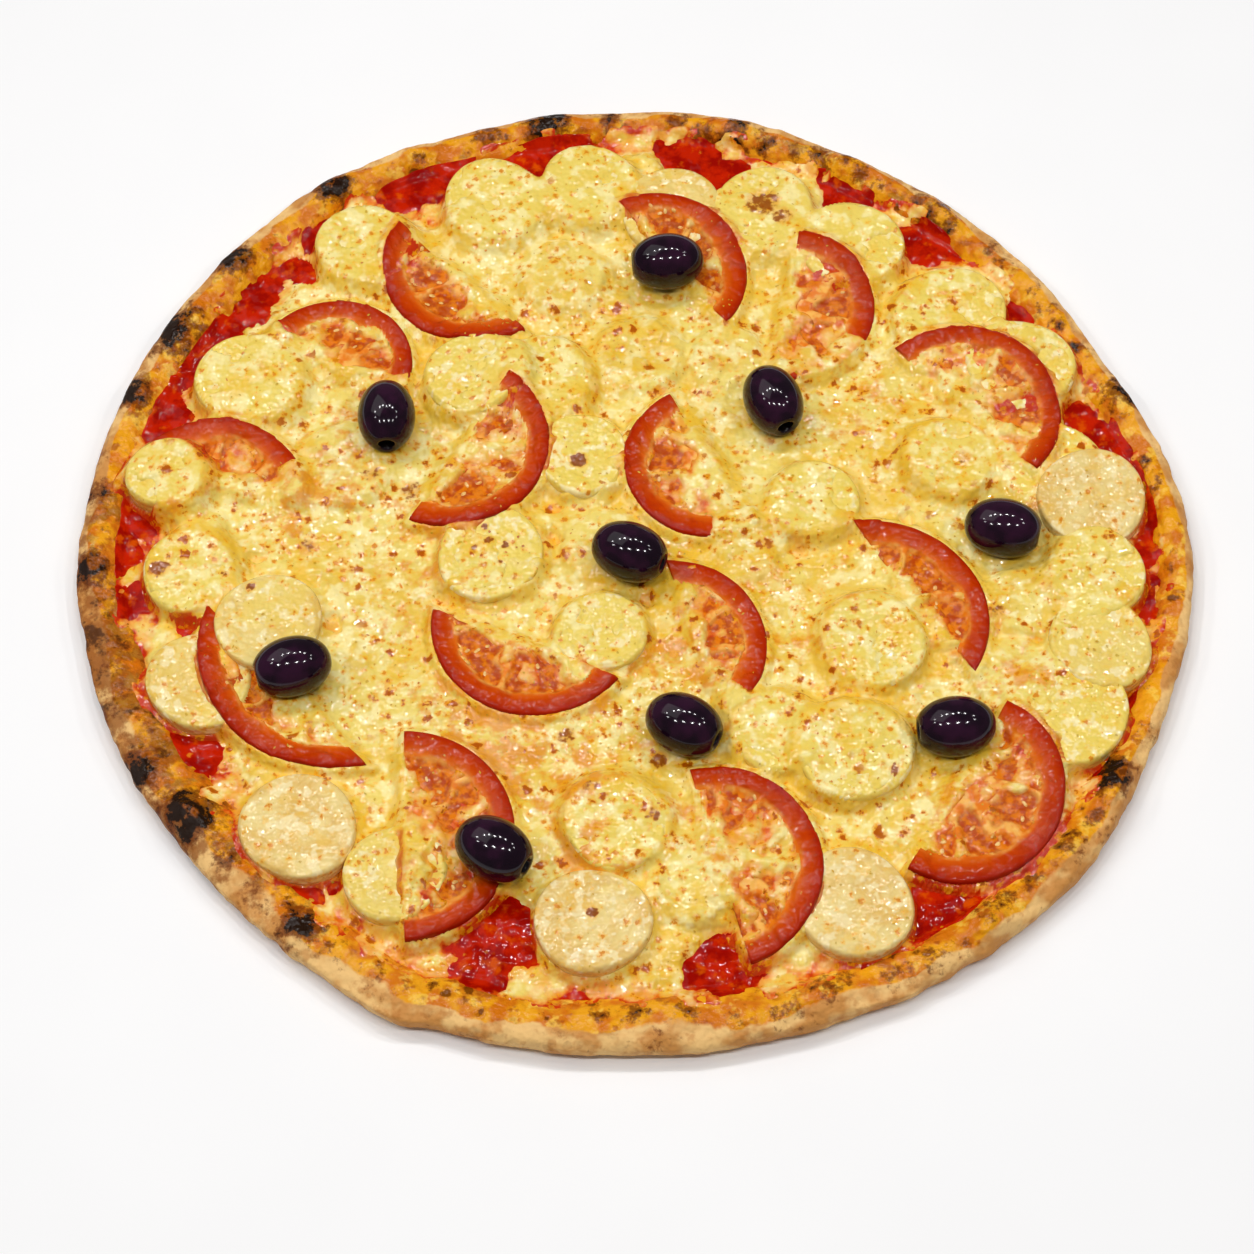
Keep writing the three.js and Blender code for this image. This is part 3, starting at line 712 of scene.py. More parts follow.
def tomato_paint():
    p = Paint("baked_tomato")
    inset, jelly, wall, side = p.marks("from_skin", "jelly", "wall", "side")
    edge = inset + (p.noise(7) - 0.5) * 2.4
    ring = p.coats(
        p.mix(p.step(edge, 0.4, 4.2), (170, 32, 0), (196, 62, 0)),
        (p.step(edge, 4.0, 7.5) * 0.75, (220, 102, 16)),
        (p.patches(9, 0.5, 0.66) * 0.45, (174, 40, 0)),
    )
    base = p.coats(
        p.mix(p.patches(4.5, 0.4, 0.62), (232, 124, 30), (246, 182, 88)),
        (wall, ring),
        (jelly * 0.9, p.mix(p.patches(3, 0.4, 0.62), (176, 56, 0), (224, 120, 8))),
        (p.step(inset, 0.7, 0.15).most(side), (158, 22, 0)),
        (p.step(p.flecks(3.4, 1.0, 0.35), -0.3, 0.4) * (0.55 - 0.55 * wall), (246, 190, 100)),
    )
    return p.moist(base, 3.2, 0.95, 7, 1.24, 0.05, (1.0, 0.3, 0.12))


def olive_paint():
    p = Paint("black_olive_skin")
    base = p.mix(p.patches(7, 0.35, 0.7, 2, 0.5), (20, 5, 20), (44, 14, 38))
    base = p.mix(p.marks("pit")[0], base, (8, 3, 5))
    return p.finish(
        Base_Color=base, Roughness=0.09, Normal=p.relief(p.noise(6, 1, 0.5), 0.12, 0.3), IOR=1.4
    )


def dough_paint():
    p = Paint("baked_dough")
    oil, char, toast, side = p.marks("oil", "char", "toast", "side")
    golden = p.torn(oil, 0.3, 0.6, 1.1, 7, 3, 0.65)
    amber = p.coats(
        p.mix(p.patches(8, 0.42, 0.6), (236, 160, 8), (210, 112, 0)),
        (p.patches(7, 0.56, 0.66, 3) * 0.7, (252, 206, 80)),
        (p.patches(6, 0.56, 0.68, 3) * 0.75, (158, 66, 0)),
    )
    scorch = p.noise(4.5, 4, 0.68) - 0.5
    freckle = p.flecks(6, 1.9, 0.5)
    base = p.coats(
        p.mix(p.patches(13, 0.4, 0.6, 3), (240, 194, 124), (208, 144, 74)),
        (p.patches(5, 0.53, 0.68, 3) * 0.5, (182, 110, 42)),
        (side * 0.4, (178, 120, 58)),
        (golden * 0.95, amber),
        (p.torn(toast, 0.42, 0.9, 2.6, 7, 4, 0.65) * 0.8, (148, 80, 20)),
        (p.torn(toast, 0.85, 1.25, 2.8, 5, 4, 0.65) * 0.85, (72, 36, 10)),
        (p.step(char * 1.25 + scorch * 2.6, 0.3, 0.75) * 0.85, (112, 50, 4)),
        (p.step(char * 1.2 + scorch * 3.0, 0.78, 1.05) * 0.96, (20, 9, 4)),
        (p.step(freckle, -1.2, 0.2) * golden * 0.6, (186, 96, 2)),
        (p.step(freckle, 0.0, 0.7) * (golden * 0.65 + 0.15), (92, 40, 0)),
    )
    bump = p.relief(p.noise(2.2, 2, 0.5) * 0.25 + p.noise(6, 2, 0.5), 2.0)
    return p.finish(Base_Color=base, Roughness=0.62 - 0.4 * golden, Normal=bump, IOR=1.28)


def grain_paint(name, dark, light, size, roughness):
    """A material that is mottled between two colours."""
    p = Paint(name)
    base = p.mix(p.patches(size, 0.35, 0.65), dark, light)
    return p.finish(Base_Color=base, Roughness=roughness, Normal=p.relief(p.noise(size * 0.7), 0.15, 0.4))


CHEESE_PAINT = cheese_paint()
SAUCE_PAINT = sauce_paint()
PALM_PAINT = palm_paint()
TOMATO_PAINT = tomato_paint()
OLIVE_PAINT = olive_paint()
DOUGH_PAINT = dough_paint()


# ---------------------------------------------------------------- dough
def dough_piece():
    """The dough in rings: out over its underside, up and over the rim, and in to the middle."""
    columns = RIM_COLUMNS
    angle = circle(columns)
    radius, width, ripple = rim_place(angle)
    rings, insets = [], []
    under_edge = radius - 0.55 * width
    for share in (0.3, 0.6, 0.85, 0.95):
        x, y = share * under_edge * np.cos(angle), share * under_edge * np.sin(angle)
        rings.append(np.column_stack([x, y, np.zeros(columns)]))
        insets.append(np.full(columns, 2.0))
    for inset, share in RIM_LINE:
        inset = max(inset, 0)
        reach = radius + ripple * (1 - blend(inset, 0.35, 0.6)) - inset * width
        x, y = reach * np.cos(angle), reach * np.sin(angle)
        lifted = RIM + (rim_height(x, y) - RIM) * blend(inset, 0.0, 0.12) * blend(inset, 1.0, 0.88)
        upper = DOUGH + (lifted - DOUGH) * share
        z = np.where(share > 0.5, upper, RIM_BELLY * share * 2) if inset < 0.5 or share < 0.05 else upper
        if inset >= 0.52:
            z = upper if share > 0.02 or inset > 0.9 else np.zeros(columns)
        top = blend(share, 0.45, 0.8)
        bubbles = 0.55 * rough(x, y, 7, 2) + 0.35 * np.maximum(lumps(x, y, 3.5, 6), 0)
        z = z + top * bubbles * blend(inset, 1.05, 0.85)
        side = (1 - top) * blend(share, 0, 0.2)
        reach = reach + side * 0.5 * rough(angle * 170, 9 * share, 6, 4)
        rings.append(np.column_stack([reach * np.cos(angle), reach * np.sin(angle), z]))
        insets.append(np.full(columns, inset if share > 0.45 or inset > 0.5 and share > 0.02 else -0.5))
    foot = radius - width
    for share in (0.9, 0.5):
        x, y = share * foot * np.cos(angle), share * foot * np.sin(angle)
        rings.append(np.column_stack([x, y, np.full(columns, DOUGH)]))
        insets.append(np.full(columns, 1.5))
    points = np.vstack([[[0, 0, 0]], *rings, [[0, 0, DOUGH]]])
    inset = np.concatenate([[2.0], *insets, [1.5]])
    x, y, z = points.T
    polar = np.arctan2(y, x)
    inner = blend(inset + 0.12 * rough(x, y, 15, 3), 0.16, 0.44) * blend(inset, 1.7, 1.4)
    up = (inset >= 0) & (inset < 1.9)
    oil = np.where(up, inner * (1.0 + 0.25 * rough(x, y, 16, 3)), 0)
    lower_left = blend(abs((np.degrees(polar) + 161 + 180) % 360 - 180), 44, 16)
    upper = blend(y, -20, 90)
    toast = 0.05 + 0.3 * rough(x, y, 18, 5) + 0.7 * lower_left + 0.2 * upper - 0.1 * inner
    toast = np.where(up, toast, 0.15 + 0.3 * rough(x, y, 22, 7) + 0.4 * lower_left)
    charred = spots(x, y, [[cx, cy, 1.7 * r, s] for cx, cy, r, s in CHARS], 0.05)
    char = np.where(up | (z > 3), charred, 0)
    marks = {"oil": oil, "char": char, "toast": toast, "side": np.where(up, 0, 1.0)}
    faces = ring_faces(len(rings), columns)
    make_piece("baked_dough_round", points, faces, DOUGH_PAINT, ["crust"], marks)


dough_piece()


# ---------------------------------------------------------------- sauce
def sauce_piece():
    """The sauce, which stands higher in the bare patches up the inside of the rim."""
    x, y, faces, border = disc_grid(SAUCE_STEPS)
    angle = np.arctan2(y, x)
    reach = outline_at(angle, 1) - 0.7 * outline_at(angle, 2)
    x, y = x * reach, y * reach
    dough, across = dough_top(x, y)
    patch = spots(x, y, RED_PATCHES, 0.6, 2.6, 6)
    lumpy = 0.3 * rough(x, y, 6, 11) + 0.12 * rough(x, y, 2.5, 24, 2)
    up_the_rim = dough - 0.6 + 1.1 * patch + 0.5 * lumpy
    z = np.maximum(SAUCE_TOP + lumpy - 0.15 + 0.8 * patch, up_the_rim)
    z = np.where(across < 0.78, np.minimum(z, dough - 0.6), z)
    points, faces = slab(x, y, z, faces, border, SAUCE_FLOOR)
    make_piece("tomato_sauce_layer", points, faces, SAUCE_PAINT, ["sauce"], {})


sauce_piece()


# ---------------------------------------------------------------- cheese
def inwardness(lie, x, y):
    """From -1 at a slice's edge nearest the rim to 1 at its edge nearest the pizza's middle."""
    away = math.hypot(lie["x"], lie["y"]) + 1e-6
    inward = -((x - lie["x"]) * lie["x"] + (y - lie["y"]) * lie["y"]) / (away * lie["r"])
    return inward * min(away / 130, 1)


def palm_film(lie, x, y):
    """How thick the cheese lies on a slice of heart of palm; below 0 it is bare."""
    return 0.8 * lie["cover"] + 0.5 * rough(x, y, 11, 21 + lie["r"]) + 0.3 * inwardness(lie, x, y)


def tomato_film(slice_, x, y):
    """How thick the cheese lies on a slice of tomato; below 0 it is bare."""
    hollow, wall = tomato_parts(slice_, x, y)
    _, past_cut, round_ = tomato_polar(slice_, x, y)
    degrees = np.degrees(round_)
    start, end = slice_[8:]
    hidden = np.maximum(blend(degrees, start + 6, start - 6), blend(degrees, end - 6, end + 6))
    wall = wall * (1 - hidden)
    own = slice_[2] * 0.1
    patchy = 0.55 * rough(x, y, 12, 31 + own) + 0.45 * rough(x, y, 4.5, 33 + own, 2)
    near_cut = blend(past_cut + 2 * lumps(x, y, 6, 35), 6, 1)
    film = 0.75 * slice_[5] + patchy + 0.1 + 0.6 * near_cut * (1 - wall)
    return film - 1.35 * wall - 0.4 * hollow + 0.6 * hidden


def melt_over(z, film, red, inside, surface, t, skirt, lip, redness):
    """The cheese's surface and marks after it has melted over or against one topping."""
    cover = blend(t, -0.3, 0.2)
    climb = blend(inside, -skirt, 1.0) * cover
    raised = surface + np.clip(t, -1.2, 0.7)
    against = lip * blend(inside, -2.8, -0.2) * blend(inside, 1.8, 0.4) * (1 - climb)
    over = z + climb * (raised - z)
    over = over + against * np.maximum(surface - over, 0)
    within = blend(inside, -0.7, 0.9)
    film = film + within * (np.clip(t, 0, 1) - film)
    red = red + within * (redness - red)
    seep = blend(inside, -3.4, -0.8) * blend(inside, 0.5, -0.6) * redness
    return np.where(surface > z - 6, over, z), film, np.maximum(red, 0.55 * seep)


def drape(x, y):
    """The cheese's surface with its marks."""
    polar = np.arctan2(y, x)
    out = np.hypot(x, y)
    dough, across = dough_top(x, y)
    ground = np.maximum(SAUCE_TOP, dough)
    main = blend(cheese_reach(polar) - out + 4.0 * rough(x, y, 9, 12, 4), -3, 9)
    lap = blend(across + 0.2 * rough(x, y, 9, 19, 4), 0.66, 0.98)
    patch = spots(x, y, RED_PATCHES, 0.35, 3.2, 6)
    veil = 0.8 * lap - 0.25 + 0.6 * rough(x, y, 7, 20, 4) - 1.5 * patch
    lumpy = 0.7 * rough(x, y, 8, 13) + 0.3 * rough(x, y, 3.4, 14, 2)
    top = cheese_top(x, y) + lumpy
    hole = spots(x, y, HOLES, 0.5, 1.6, 15)
    main = main * (1 - blend(patch, 0.2, 0.7)) * (1 - 0.85 * hole)
    z = ground + veil * (1 - main) + (top - ground) * main
    z = np.where(across < 0.6, dough - 0.8, z)
    film = np.clip(np.where(main > 0.02, 0.25 + 2.2 * main, veil * 0.9), 0, 2.4)
    red = (1 - 0.85 * main) * np.ones_like(x)
    # oil pooled at the feet of the toppings and in the lip round each olive; it is partly real oil and
    # partly painted shade, which makes the cheese more orange where shade falls beside them
    over_palm, pool_and_shade = np.zeros_like(x), np.zeros_like(x)
    toppings = [("palm", lie) for lie in lies[: len(PALMS)]]
    toppings += [("tomato", pair) for pair in zip(TOMATOES, beds)]
    toppings += [("palm", lie) for lie in lies[len(PALMS) :]]
    for kind, thing in toppings:
        cx, cy, r = (thing["x"], thing["y"], thing["r"]) if kind == "palm" else thing[0][:3]
        near = np.hypot(x - cx, y - cy) < r + 9
        px, py = x[near], y[near]
        if kind == "palm":
            inside, surface = palm_edge(thing, px, py), palm_plane(thing, px, py)
            t = palm_film(thing, px, py)
            inward = blend(inwardness(thing, px, py), -0.75, 0.4)
            skirt = 1.0 + 5.5 * blend(thing["cover"], -0.4, 0.5) * inward
            lip, redness = 0.3, 0
        else:
            inset, past_cut, _ = tomato_polar(thing[0], px, py)
            ragged_cut = past_cut + 0.5 * rough(px, py, 6, 36)
            inside = np.minimum(inset, ragged_cut)
            surface = thing[1](px, py) + tomato_relief(thing[0], px, py)
            t = tomato_film(thing[0], px, py)
            skirt, lip, redness = 1.5 + 4.5 * blend(inset - past_cut, -2, 4), 0.75, 1
        z[near], film[near], red[near] = melt_over(
            z[near], film[near], red[near], inside, surface, t, skirt, lip, redness
        )
        onto = blend(inside, -0.5, 1.5) * (kind == "palm")
        over_palm[near] = np.maximum(over_palm[near] * (1 - blend(inside, -0.5, 0.8)), onto)
        # beside the foot of each topping: pooled oil and painted shade
        beside = blend(inside, -6, -1) * blend(inside, 1.2, -0.2)
        pool_and_shade[near] = np.maximum(pool_and_shade[near] * (1 - blend(inside, -0.5, 0.8)), beside)
    for name, facing in zip(olive_names, OLIVE_FACING):
        lip = olive_lip(name, facing, x, y)
        # round each olive: pooled oil and painted shade
        z, pool_and_shade = z + lip, np.maximum(pool_and_shade, 1.3 * lip)
    # more oil yellow where oil pools and where shade is painted beside the toppings and olives
    oil = 0.3 + 0.35 * rough(x, y, 24, 16) + 0.2 * blend(out, 150, 60) - 0.12 * over_palm + 0.4 * pool_and_shade
    # toasted most towards the diner, in one round below the middle and in one at the left, and a little
    # more beside the toppings and round the olives, which is painted shade
    toast = 0.22 + 0.14 * blend(y, 40, -60) + 0.12 * pool_and_shade + 0.45 * rough(x, y, 26, 17)
    toast = toast + 0.35 * blend(np.hypot(x + 15, y + 75), 60, 25)
    toast = toast + 0.4 * blend(np.hypot(x + 85, y - 25), 45, 15)
    toast = toast - 0.3 * blend(y, 70, 120) - 0.12 * over_palm
    marks = {"film": film, "red_below": red, "over_palm": over_palm, "oil": oil, "toast": toast}
    marks["browned"] = spots(x, y, BROWNED, 0.4, 0.8, 18)
    return z, marks


def olive_middle(name):
    low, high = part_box(name)
    return (low + high) / 2 / MM


def olive_lip(name, facing, x, y):
    """The low lip of cheese that rises round an olive."""
    middle = olive_middle(name)
    along, across = to_facing(facing, x - middle.x, y - middle.y)
    out = np.hypot(along / (0.42 * OLIVE_LONG), across / (0.42 * OLIVE_WIDE))
    return 0.9 * blend(out, 1.35, 1.02) * blend(out, 0.55, 0.95)


def cheese_piece():
    """The cheese as one draped skin, closed below."""
    x, y, faces, border = disc_grid(CHEESE_STEPS)
    angle = np.arctan2(y, x)
    reach = outline_at(angle, 1) - 0.5 * outline_at(angle, 2)
    x, y = x * reach, y * reach
    z, marks = drape(x, y)
    floor = CHEESE_FLOOR - CHEESE_UNDER
    z = np.maximum(z, floor + 0.1)
    points, faces = slab(x, y, z, faces, border, floor)
    marks = padded_marks(marks, len(border))
    make_piece("melted_cheese_layer", points, faces, CHEESE_PAINT, ["cheese"], marks)


cheese_piece()


# ---------------------------------------------------------------- heart of palm
def palm_piece(name, lie):
    """A slice with a round upper edge, faint rings and a low middle."""
    columns = PALM_COLUMNS
    stations = [[0.5, 0], [0.93, 0], [0.985, 0.04], [1, 0.14], [1.003, 0.4], [1, 0.7]]
    e = PALM_EDGE / lie["r"]
    stations += [[1 - e * (1 - math.cos(a)), 0.77 + 0.23 * math.sin(a)] for a in np.linspace(0.2, 1.45, 5)]
    stations += [[s, 1.0] for s in np.linspace(1 - 1.25 * e, 0.06, 13)]
    angle = circle(columns)
    edge = palm_round(lie, angle)
    rings, shares = [], []
    for share, up in [[0, 0], *stations, [0, 1.0]]:
        reach = share * edge if share else np.zeros(1)
        a = angle if share else np.zeros(1)
        dx, dy = reach * np.cos(a), reach * np.sin(a)
        x, y = lie["x"] + dx, lie["y"] + dy
        fibre = 0.16 * np.cos(reach * 2.2 + 2 * lumps(x, y, 8, 41)) + 0.22 * rough(x, y, 5, 42)
        z = palm_plane(lie, x, y) - PALM * (1 - up)
        z = z + (up > 0.9) * (fibre - 0.35 * blend(share, 0.85, 0.3))
        rings.append(np.column_stack([x, y, z]))
        shares.append(np.full(len(x), share * lie["r"]))
    points = np.vstack(rings)
    x, y, _ = points.T
    marks = {
        "from_middle": np.concatenate(shares),
        "veil": blend(palm_film(lie, x, y), -0.8, 0.1),
        "browned": spots(x, y, BROWNED, 0.4, 0.7, 18),
        "bareness": np.full(len(x), float(np.clip(-lie["cover"], 0, 1))),
    }
    faces = ring_faces(len(stations), columns)
    make_piece(f"{name}_slice", points, faces, PALM_PAINT, [name], marks)


for name, lie in zip(palm_names, lies):
    palm_piece(name, lie)


# ---------------------------------------------------------------- tomato
def tomato_piece(name, slice_, bed_at):
    """A part of a round slice with a straight cut: a red wall, and hollows with jelly between spokes."""
    cx, cy, r, facing = slice_[:4]
    cut = tomato_cut(slice_)
    columns = TOMATO_COLUMNS
    turn = np.linspace(-1, 1, columns + 1)
    # how far out from the cut, how far in from the skin, how far up
    stations = [[0.5, 1.2, 0], [1, 1.2, 0], [1, 0.5, 0.14], [1, 0, 0.45], [1, 0.1, 0.78]]
    stations += [[1, 0.42, 0.94], [1, 0.95, 1]]
    stations += [[1, inset, 1] for inset in (1.6, 2.3, 3.0, 3.7, 4.4, 5.0, 5.6)]
    stations += [[out, 5.6, 1] for out in np.linspace(0.96, 0.06, 22)]
    rows, ups = [], []
    for out, inset, up in [[0, 0, 0], *stations, [0, 0, 1]]:
        t = turn if out else np.zeros(1)
        ring = r - inset
        angle = t * math.acos(cut / ring)
        forward = cut + out * (ring * np.cos(angle) - cut)
        sideways = out * ring * np.sin(angle)
        dx, dy = from_facing(facing, forward, sideways)
        x, y = cx + dx, cy + dy
        low = bed_at(x, y) + GAP - SINK
        high = bed_at(x, y) + tomato_relief(slice_, x, y)
        rows.append(np.column_stack([x, y, low + (high - low) * up]))
        ups.append(np.full(len(x), up))
    points = np.vstack(rows)
    x, y, _ = points.T
    up = np.concatenate(ups)
    inset, _, _ = tomato_polar(slice_, x, y)
    hollow, wall = tomato_parts(slice_, x, y)
    side = np.where((up < 0.9) & (inset < 1.3), 1.0, 0.0)
    marks = {"from_skin": inset, "jelly": hollow, "wall": wall, "side": side}
    across = columns + 1
    faces = ring_faces(len(stations), columns, closed=False)
    last = 1 + len(stations) * across
    first_end = [1 + k * across for k in range(len(stations))]
    last_end = [k + columns for k in first_end]
    faces += [[0, *first_end, last], [0, last, *last_end[::-1]]]
    make_piece(f"{name}_slice", points, faces, TOMATO_PAINT, [name], marks)


for name, slice_, bed_at in zip(tomato_names, TOMATOES, beds):
    tomato_piece(name, slice_, bed_at)


# ---------------------------------------------------------------- olives
def olive_piece(name, facing):
    """An olive on its side, turned about its length, with its pit hole towards the way it faces."""
    middle = olive_middle(name)
    columns = OLIVE_COLUMNS
    profile = [[PIT * 0.55, -0.62], [PIT * 0.85, -0.7], [PIT, -0.86], [PIT * 1.12, -0.905]]
    profile = [[2 * radius / OLIVE_WIDE, along] for radius, along in profile]
    profile += [[math.cos(b) ** 0.93, math.sin(b)] for b in np.linspace(-1.19, 1.47, 26)]
    angle = circle(columns)
    rows, pits = [], []
    for k, (reach, along) in enumerate([[0, -0.6], *profile, [0, 1]]):
        t = angle if reach else np.zeros(1)
        forward = -along * OLIVE_LONG / 2 * np.ones(len(t))
        side, height = reach * np.sin(t) * OLIVE_WIDE / 2, reach * np.cos(t) * OLIVE_WIDE / 2
        dx, dy = from_facing(facing, forward, side)
        rows.append(np.column_stack([middle.x + dx, middle.y + dy, middle.z + height]))
        pits.append(np.full(len(t), 1.0 if k < 4 else 0.0))
    points, faces = np.vstack(rows), ring_faces(len(profile), columns)
    marks = {"pit": np.concatenate(pits)}
    make_piece(f"{name}_whole", points, faces, OLIVE_PAINT, [name], marks)


for name, facing in zip(olive_names, OLIVE_FACING):
    olive_piece(name, facing)


# ---------------------------------------------------------------- scattered herbs, crumbs and seeds
SIZE_DRAW = 7  # keeps the draw of a grain's size apart from the draw of its turn


def scatter(name, grain, paint, slot, density, smallest, largest, seed, mark):
    """Strews copies of a grain over the ground, as thickly as its mark says, as one mesh."""
    tree = bpy.data.node_groups.new(f"strew_{name}", "GeometryNodeTree")
    for label, kind in [
        ("Geometry", "NodeSocketGeometry"), ("Density", "NodeSocketFloat"),
        ("Smallest", "NodeSocketVector"), ("Largest", "NodeSocketVector"), ("Seed", "NodeSocketInt"),
        ("Grain", "NodeSocketObject"), ("Finish", "NodeSocketMaterial"),
    ]:
        tree.interface.new_socket(label, in_out="INPUT", socket_type=kind)
    tree.interface.new_socket("Geometry", in_out="OUTPUT", socket_type="NodeSocketGeometry")

    def node(kind, settings=None, inputs=None):
        return add_node(tree, kind, settings, inputs).outputs

    def draw(low, high, more):
        inputs = {0: low, 1: high, "Seed": given["Seed"], **more}
        return node("FunctionNodeRandomValue", {"data_type": "FLOAT_VECTOR"}, inputs)[0]

    given = node("NodeGroupInput")
    thick = node("GeometryNodeInputNamedAttribute", {"data_type": "FLOAT"}, {"Name": mark})[0]
    how_many = node("ShaderNodeMath", {"operation": "MULTIPLY"}, {0: thick, 1: given["Density"]})[0]
    points = node(
        "GeometryNodeDistributePointsOnFaces", {"distribute_method": "RANDOM"},
        {"Mesh": given["Geometry"], "Density": how_many, "Seed": given["Seed"]},
    )
    spin = draw((-0.25, -0.25, 0), (0.25, 0.25, 6.283), {})
    turned = node(
        "FunctionNodeRotateRotation", {"rotation_space": "LOCAL"},
        {"Rotation": points["Rotation"], "Rotate By": spin},
    )[0]
    size = draw(given["Smallest"], given["Largest"], {"ID": SIZE_DRAW})
    shape = node("GeometryNodeObjectInfo", {"transform_space": "ORIGINAL"}, {"Object": given["Grain"]})
    placed = {"Points": points["Points"], "Instance": shape["Geometry"], "Rotation": turned, "Scale": size}
    placed = node("GeometryNodeInstanceOnPoints", None, placed)[0]
    real = node("GeometryNodeRealizeInstances", None, {"Geometry": placed})[0]
    painted = node("GeometryNodeSetMaterial", None, {"Geometry": real, "Material": given["Finish"]})[0]
    node("NodeGroupOutput", None, {"Geometry": painted})

    modifier = ground.modifiers.new(name, "NODES")
    modifier.node_group = tree
    values = {"Density": density, "Smallest": smallest, "Largest": largest}
    values |= {"Seed": seed, "Grain": grain, "Finish": paint}
    for item in tree.interface.items_tree:
        if item.in_out == "INPUT" and item.name in values:
            modifier[item.identifier] = values[item.name]
    seen = ground.evaluated_get(bpy.context.evaluated_depsgraph_get())
    mesh = bpy.data.meshes.new_from_object(seen)
    ground.modifiers.remove(modifier)
    mesh.name = name
    if not mesh.materials:
        mesh.materials.append(paint)
    hand_over(place(name, mesh))


def pebble(name, flat, jitter, seed, subdivisions=1):
    """A small closed uneven lump, about 1 mm across."""
    draw = np.random.default_rng(seed)
    bpy.ops.mesh.primitive_ico_sphere_add(subdivisions=subdivisions, radius=0.5 * MM)
    lump = bpy.context.object
    lump.name = name
    for v in lump.data.vertices:
        v.co *= 1 + jitter * draw.uniform(-1, 1)
        v.co.z *= flat
    return lump


def strewn_ground():
    """The whole upper side of the pizza inside the rim, on which small things lie."""
    x, y, faces, _ = disc_grid(GROUND_STEPS)
    angle = np.arctan2(y, x)
    reach = outline_at(angle, 1) - 0.7 * outline_at(angle, 2)
    x, y = x * reach, y * reach
    z, _ = drape(x, y)

    def onto_palm(lie):
        inside = palm_edge(lie, x, y) > 0.9
        return inside, np.where(inside, np.maximum(z, palm_plane(lie, x, y) - 0.1), z)

    for lie in lies:
        _, z = onto_palm(lie)
    hollow_all = np.zeros_like(x)
    for slice_, bed_at in zip(TOMATOES, beds):
        inset, past_cut, _ = tomato_polar(slice_, x, y)
        inside = (inset > 0.8) & (past_cut > 0.5)
        surface = bed_at(x[inside], y[inside]) + tomato_relief(slice_, x[inside], y[inside])
        bare = surface > z[inside] + 0.1
        hollow, _ = tomato_parts(slice_, x[inside], y[inside])
        z[inside] = np.maximum(z[inside], surface)
        hollow_all[inside] = hollow * bare
    for lie in lies[len(PALMS) :]:
        inside, z = onto_palm(lie)
        hollow_all = np.where(inside, 0, hollow_all)
    clear = np.ones_like(x)
    for name in olive_names:
        middle = olive_middle(name)
        away = np.hypot(x - middle.x, y - middle.y)
        clear = clear * blend(away, 0.36 * OLIVE_LONG, 0.5 * OLIVE_LONG)
        hollow_all = hollow_all * clear
    mesh = bpy.data.meshes.new("strewn_ground")
    mesh.from_pydata((np.column_stack([x, y, z]) * MM).tolist(), [], faces.tolist())
    _, across = dough_top(x, y)
    inside = blend(across, 0.85, 1.1)
    herbs = clear * inside * np.clip(0.55 + 0.9 * rough(x, y, 26, 51), 0.05, 1.5)
    crumbs = clear * inside * np.clip(0.2 + 1.1 * rough(x, y, 22, 52), 0.0, 1.5)
    write_marks(mesh, {"herbs": herbs, "crumbs": crumbs, "seeds": hollow_all})
    return place("strewn_ground", mesh)


ground = strewn_ground()
herb_paint = grain_paint("dried_herb", (196, 146, 12), (214, 172, 34), 0.8, 0.6)
crumb_paint = grain_paint("browned_crumb", (190, 104, 4), (228, 154, 20), 1.2, 0.3)
seed_paint = grain_paint("tomato_seed", (222, 150, 60), (240, 196, 112), 1.0, 0.25)
herb = pebble("herb", 0.25, 0.25, 5)
crumb = pebble("crumb", 0.3, 0.35, 6)
seed = pebble("seed", 0.45, 0.05, 7, 2)
# name, grain, finish, slot, how many a square metre, smallest and largest size, random seed, mark
on_top = "melted_cheese"
for row in [
    ["herb_flecks", herb, herb_paint, on_top, 14000, (0.6, 0.4, 0.4), (1.7, 0.8, 0.7), 3, "herbs"],
    ["browned_crumbs", crumb, crumb_paint, on_top, 6000, (0.6, 0.4, 0.3), (1.7, 1.0, 0.5), 8, "crumbs"],
    ["tomato_seeds", seed, seed_paint, "tomato", 26000, (1.7, 1.0, 0.8), (2.6, 1.4, 1.2), 11, "seeds"],
]:
    scatter(*row)
for helper in (ground, herb, crumb, seed):
    bpy.data.objects.remove(helper)

# ---------------------------------------------------------------- floor, light and camera
FLOOR_HALF = 3  # metres
FLOOR_LEVEL = -0.0002
floor_mesh = bpy.data.meshes.new("pale_floor")
signs = ((-1, -1), (1, -1), (1, 1), (-1, 1))
corners = [(FLOOR_HALF * sx, FLOOR_HALF * sy, FLOOR_LEVEL) for sx, sy in signs]
floor_mesh.from_pydata(corners, [], [(0, 1, 2, 3)])
floor_paint = Paint("pale_floor")
floor_tone = floor_paint.mix(floor_paint.noise(60, 2, 0.5), (248, 248, 249), (252, 252, 253))
floor_mesh.materials.append(floor_paint.finish(Base_Color=floor_tone, Roughness=0.7))
place("pale_floor", floor_mesh)


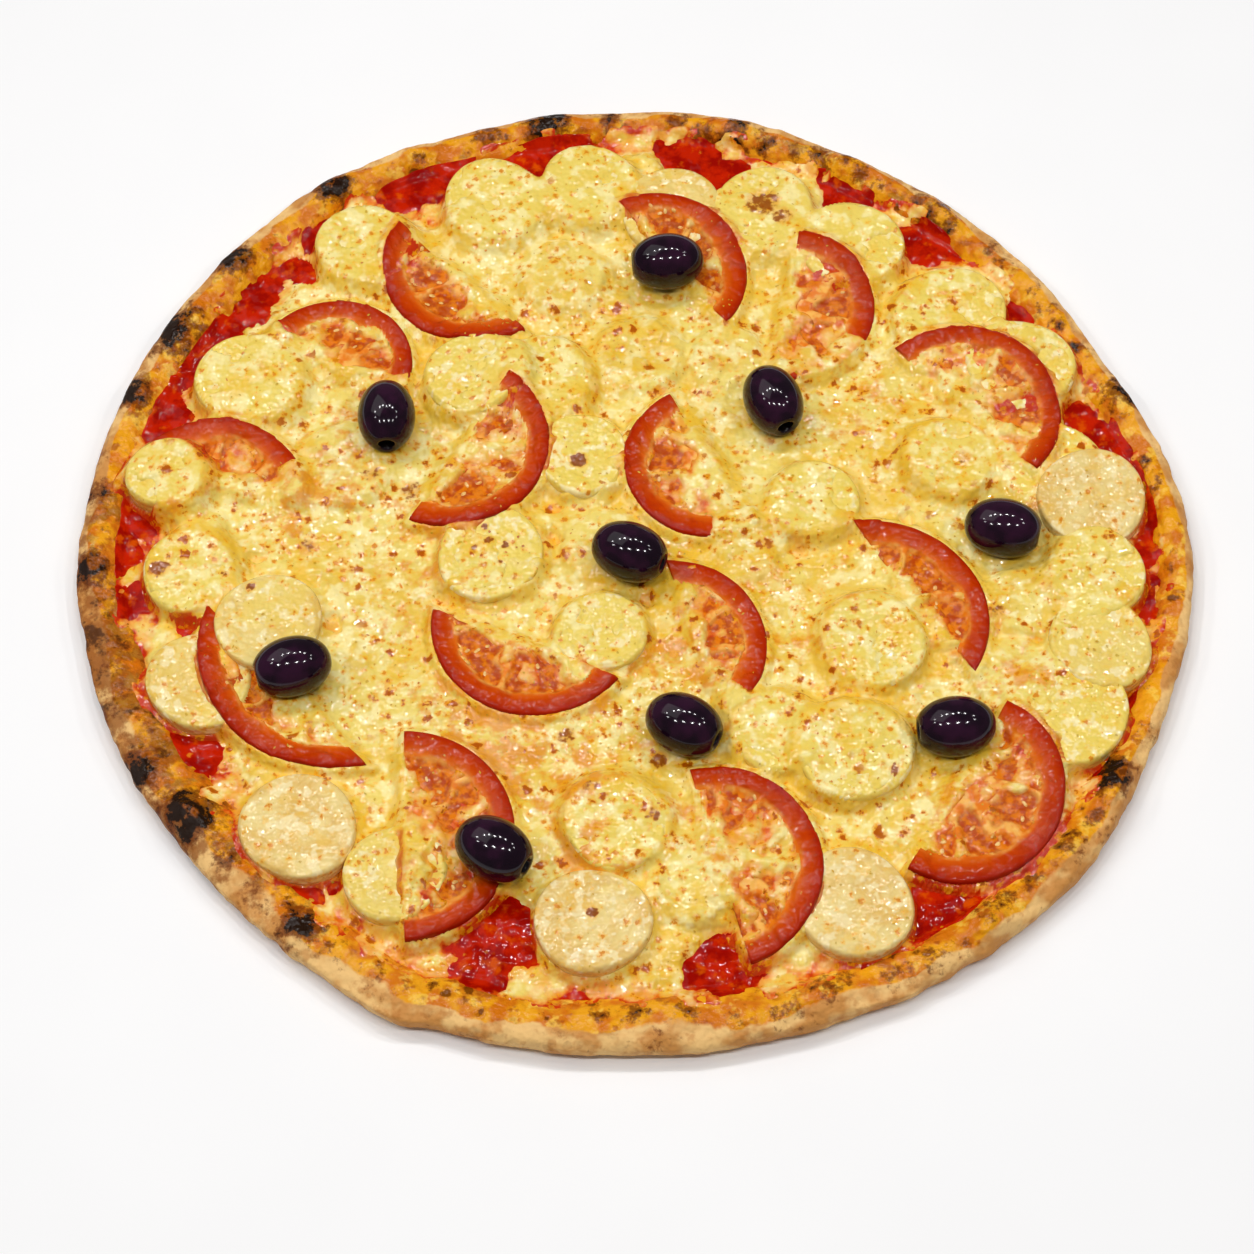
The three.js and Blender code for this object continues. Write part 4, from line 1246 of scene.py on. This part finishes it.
def lamp(name, at, size, power):
    """A lamp with a flat face of that size, aimed at the pizza's middle."""
    light = bpy.data.lights.new(name, "AREA")
    light.shape = "RECTANGLE"
    light.size, light.size_y = size
    light.energy = power
    made = place(name, light)
    made.location = at
    made.rotation_mode = "QUATERNION"
    made.rotation_quaternion = (-Vector(at)).to_track_quat("-Z", "Y")


# A frame of small lamps overhead, whose reflections sparkle on what is wet.
for i, x in enumerate((-0.62, -0.2, 0.22, 0.64)):
    lamp(f"near_lamp_{i}", (x, -0.34, 1.15), (0.11, 0.03), 1.6)
for i, x in enumerate((-0.5, -0.24, 0.02, 0.28, 0.54)):
    lamp(f"far_lamp_{i}", (x, 0.42 + 0.06 * (i % 2), 1.2), (0.07, 0.03), 1.2)
for i, (x, y) in enumerate(((-1.05, -0.05), (1.08, -0.05), (-1.0, 0.28), (1.02, 0.28))):
    lamp(f"side_lamp_{i}", (x, y, 1.15), (0.03, 0.1), 0.9)
lamp("soft_key", (-1.2, 1.0, 2.2), (2.0, 2.0), 12)

world = bpy.data.worlds.new("pale_room")
world.use_nodes = True
world.node_tree.nodes["Background"].inputs[0].default_value = (1, 0.95, 0.88, 1)
world.node_tree.nodes["Background"].inputs[1].default_value = 0.14
bpy.context.scene.world = world
bpy.context.scene.view_settings.view_transform = "Standard"

CAMERA_HEIGHT = math.radians(60.71)
CAMERA_ROLL = -0.04495
CAMERA_AWAY = 940
AIMED_AT = Vector((-3.06, -26.85, 0))
SENSOR = 36
FOCAL = 3000 / 1254 * SENSOR  # 3000 pixels in a picture of 1254
back = Vector((0, -math.cos(CAMERA_HEIGHT), math.sin(CAMERA_HEIGHT)))
level_right = (-back).cross(Vector((0, 0, 1))).normalized()
level_up = level_right.cross(-back)
right = math.cos(CAMERA_ROLL) * level_right + math.sin(CAMERA_ROLL) * level_up
up = math.cos(CAMERA_ROLL) * level_up - math.sin(CAMERA_ROLL) * level_right
camera_data = bpy.data.cameras.new("camera")
camera_data.lens = FOCAL
camera_data.sensor_width = SENSOR
camera_data.clip_start, camera_data.clip_end = 0.05, 20
camera = place("camera", camera_data)
turn = Matrix((right, up, back)).transposed().to_4x4()
camera.matrix_world = Matrix.Translation((AIMED_AT + CAMERA_AWAY * back) * MM) @ turn
bpy.context.scene.camera = camera

bpy.context.view_layer.update()
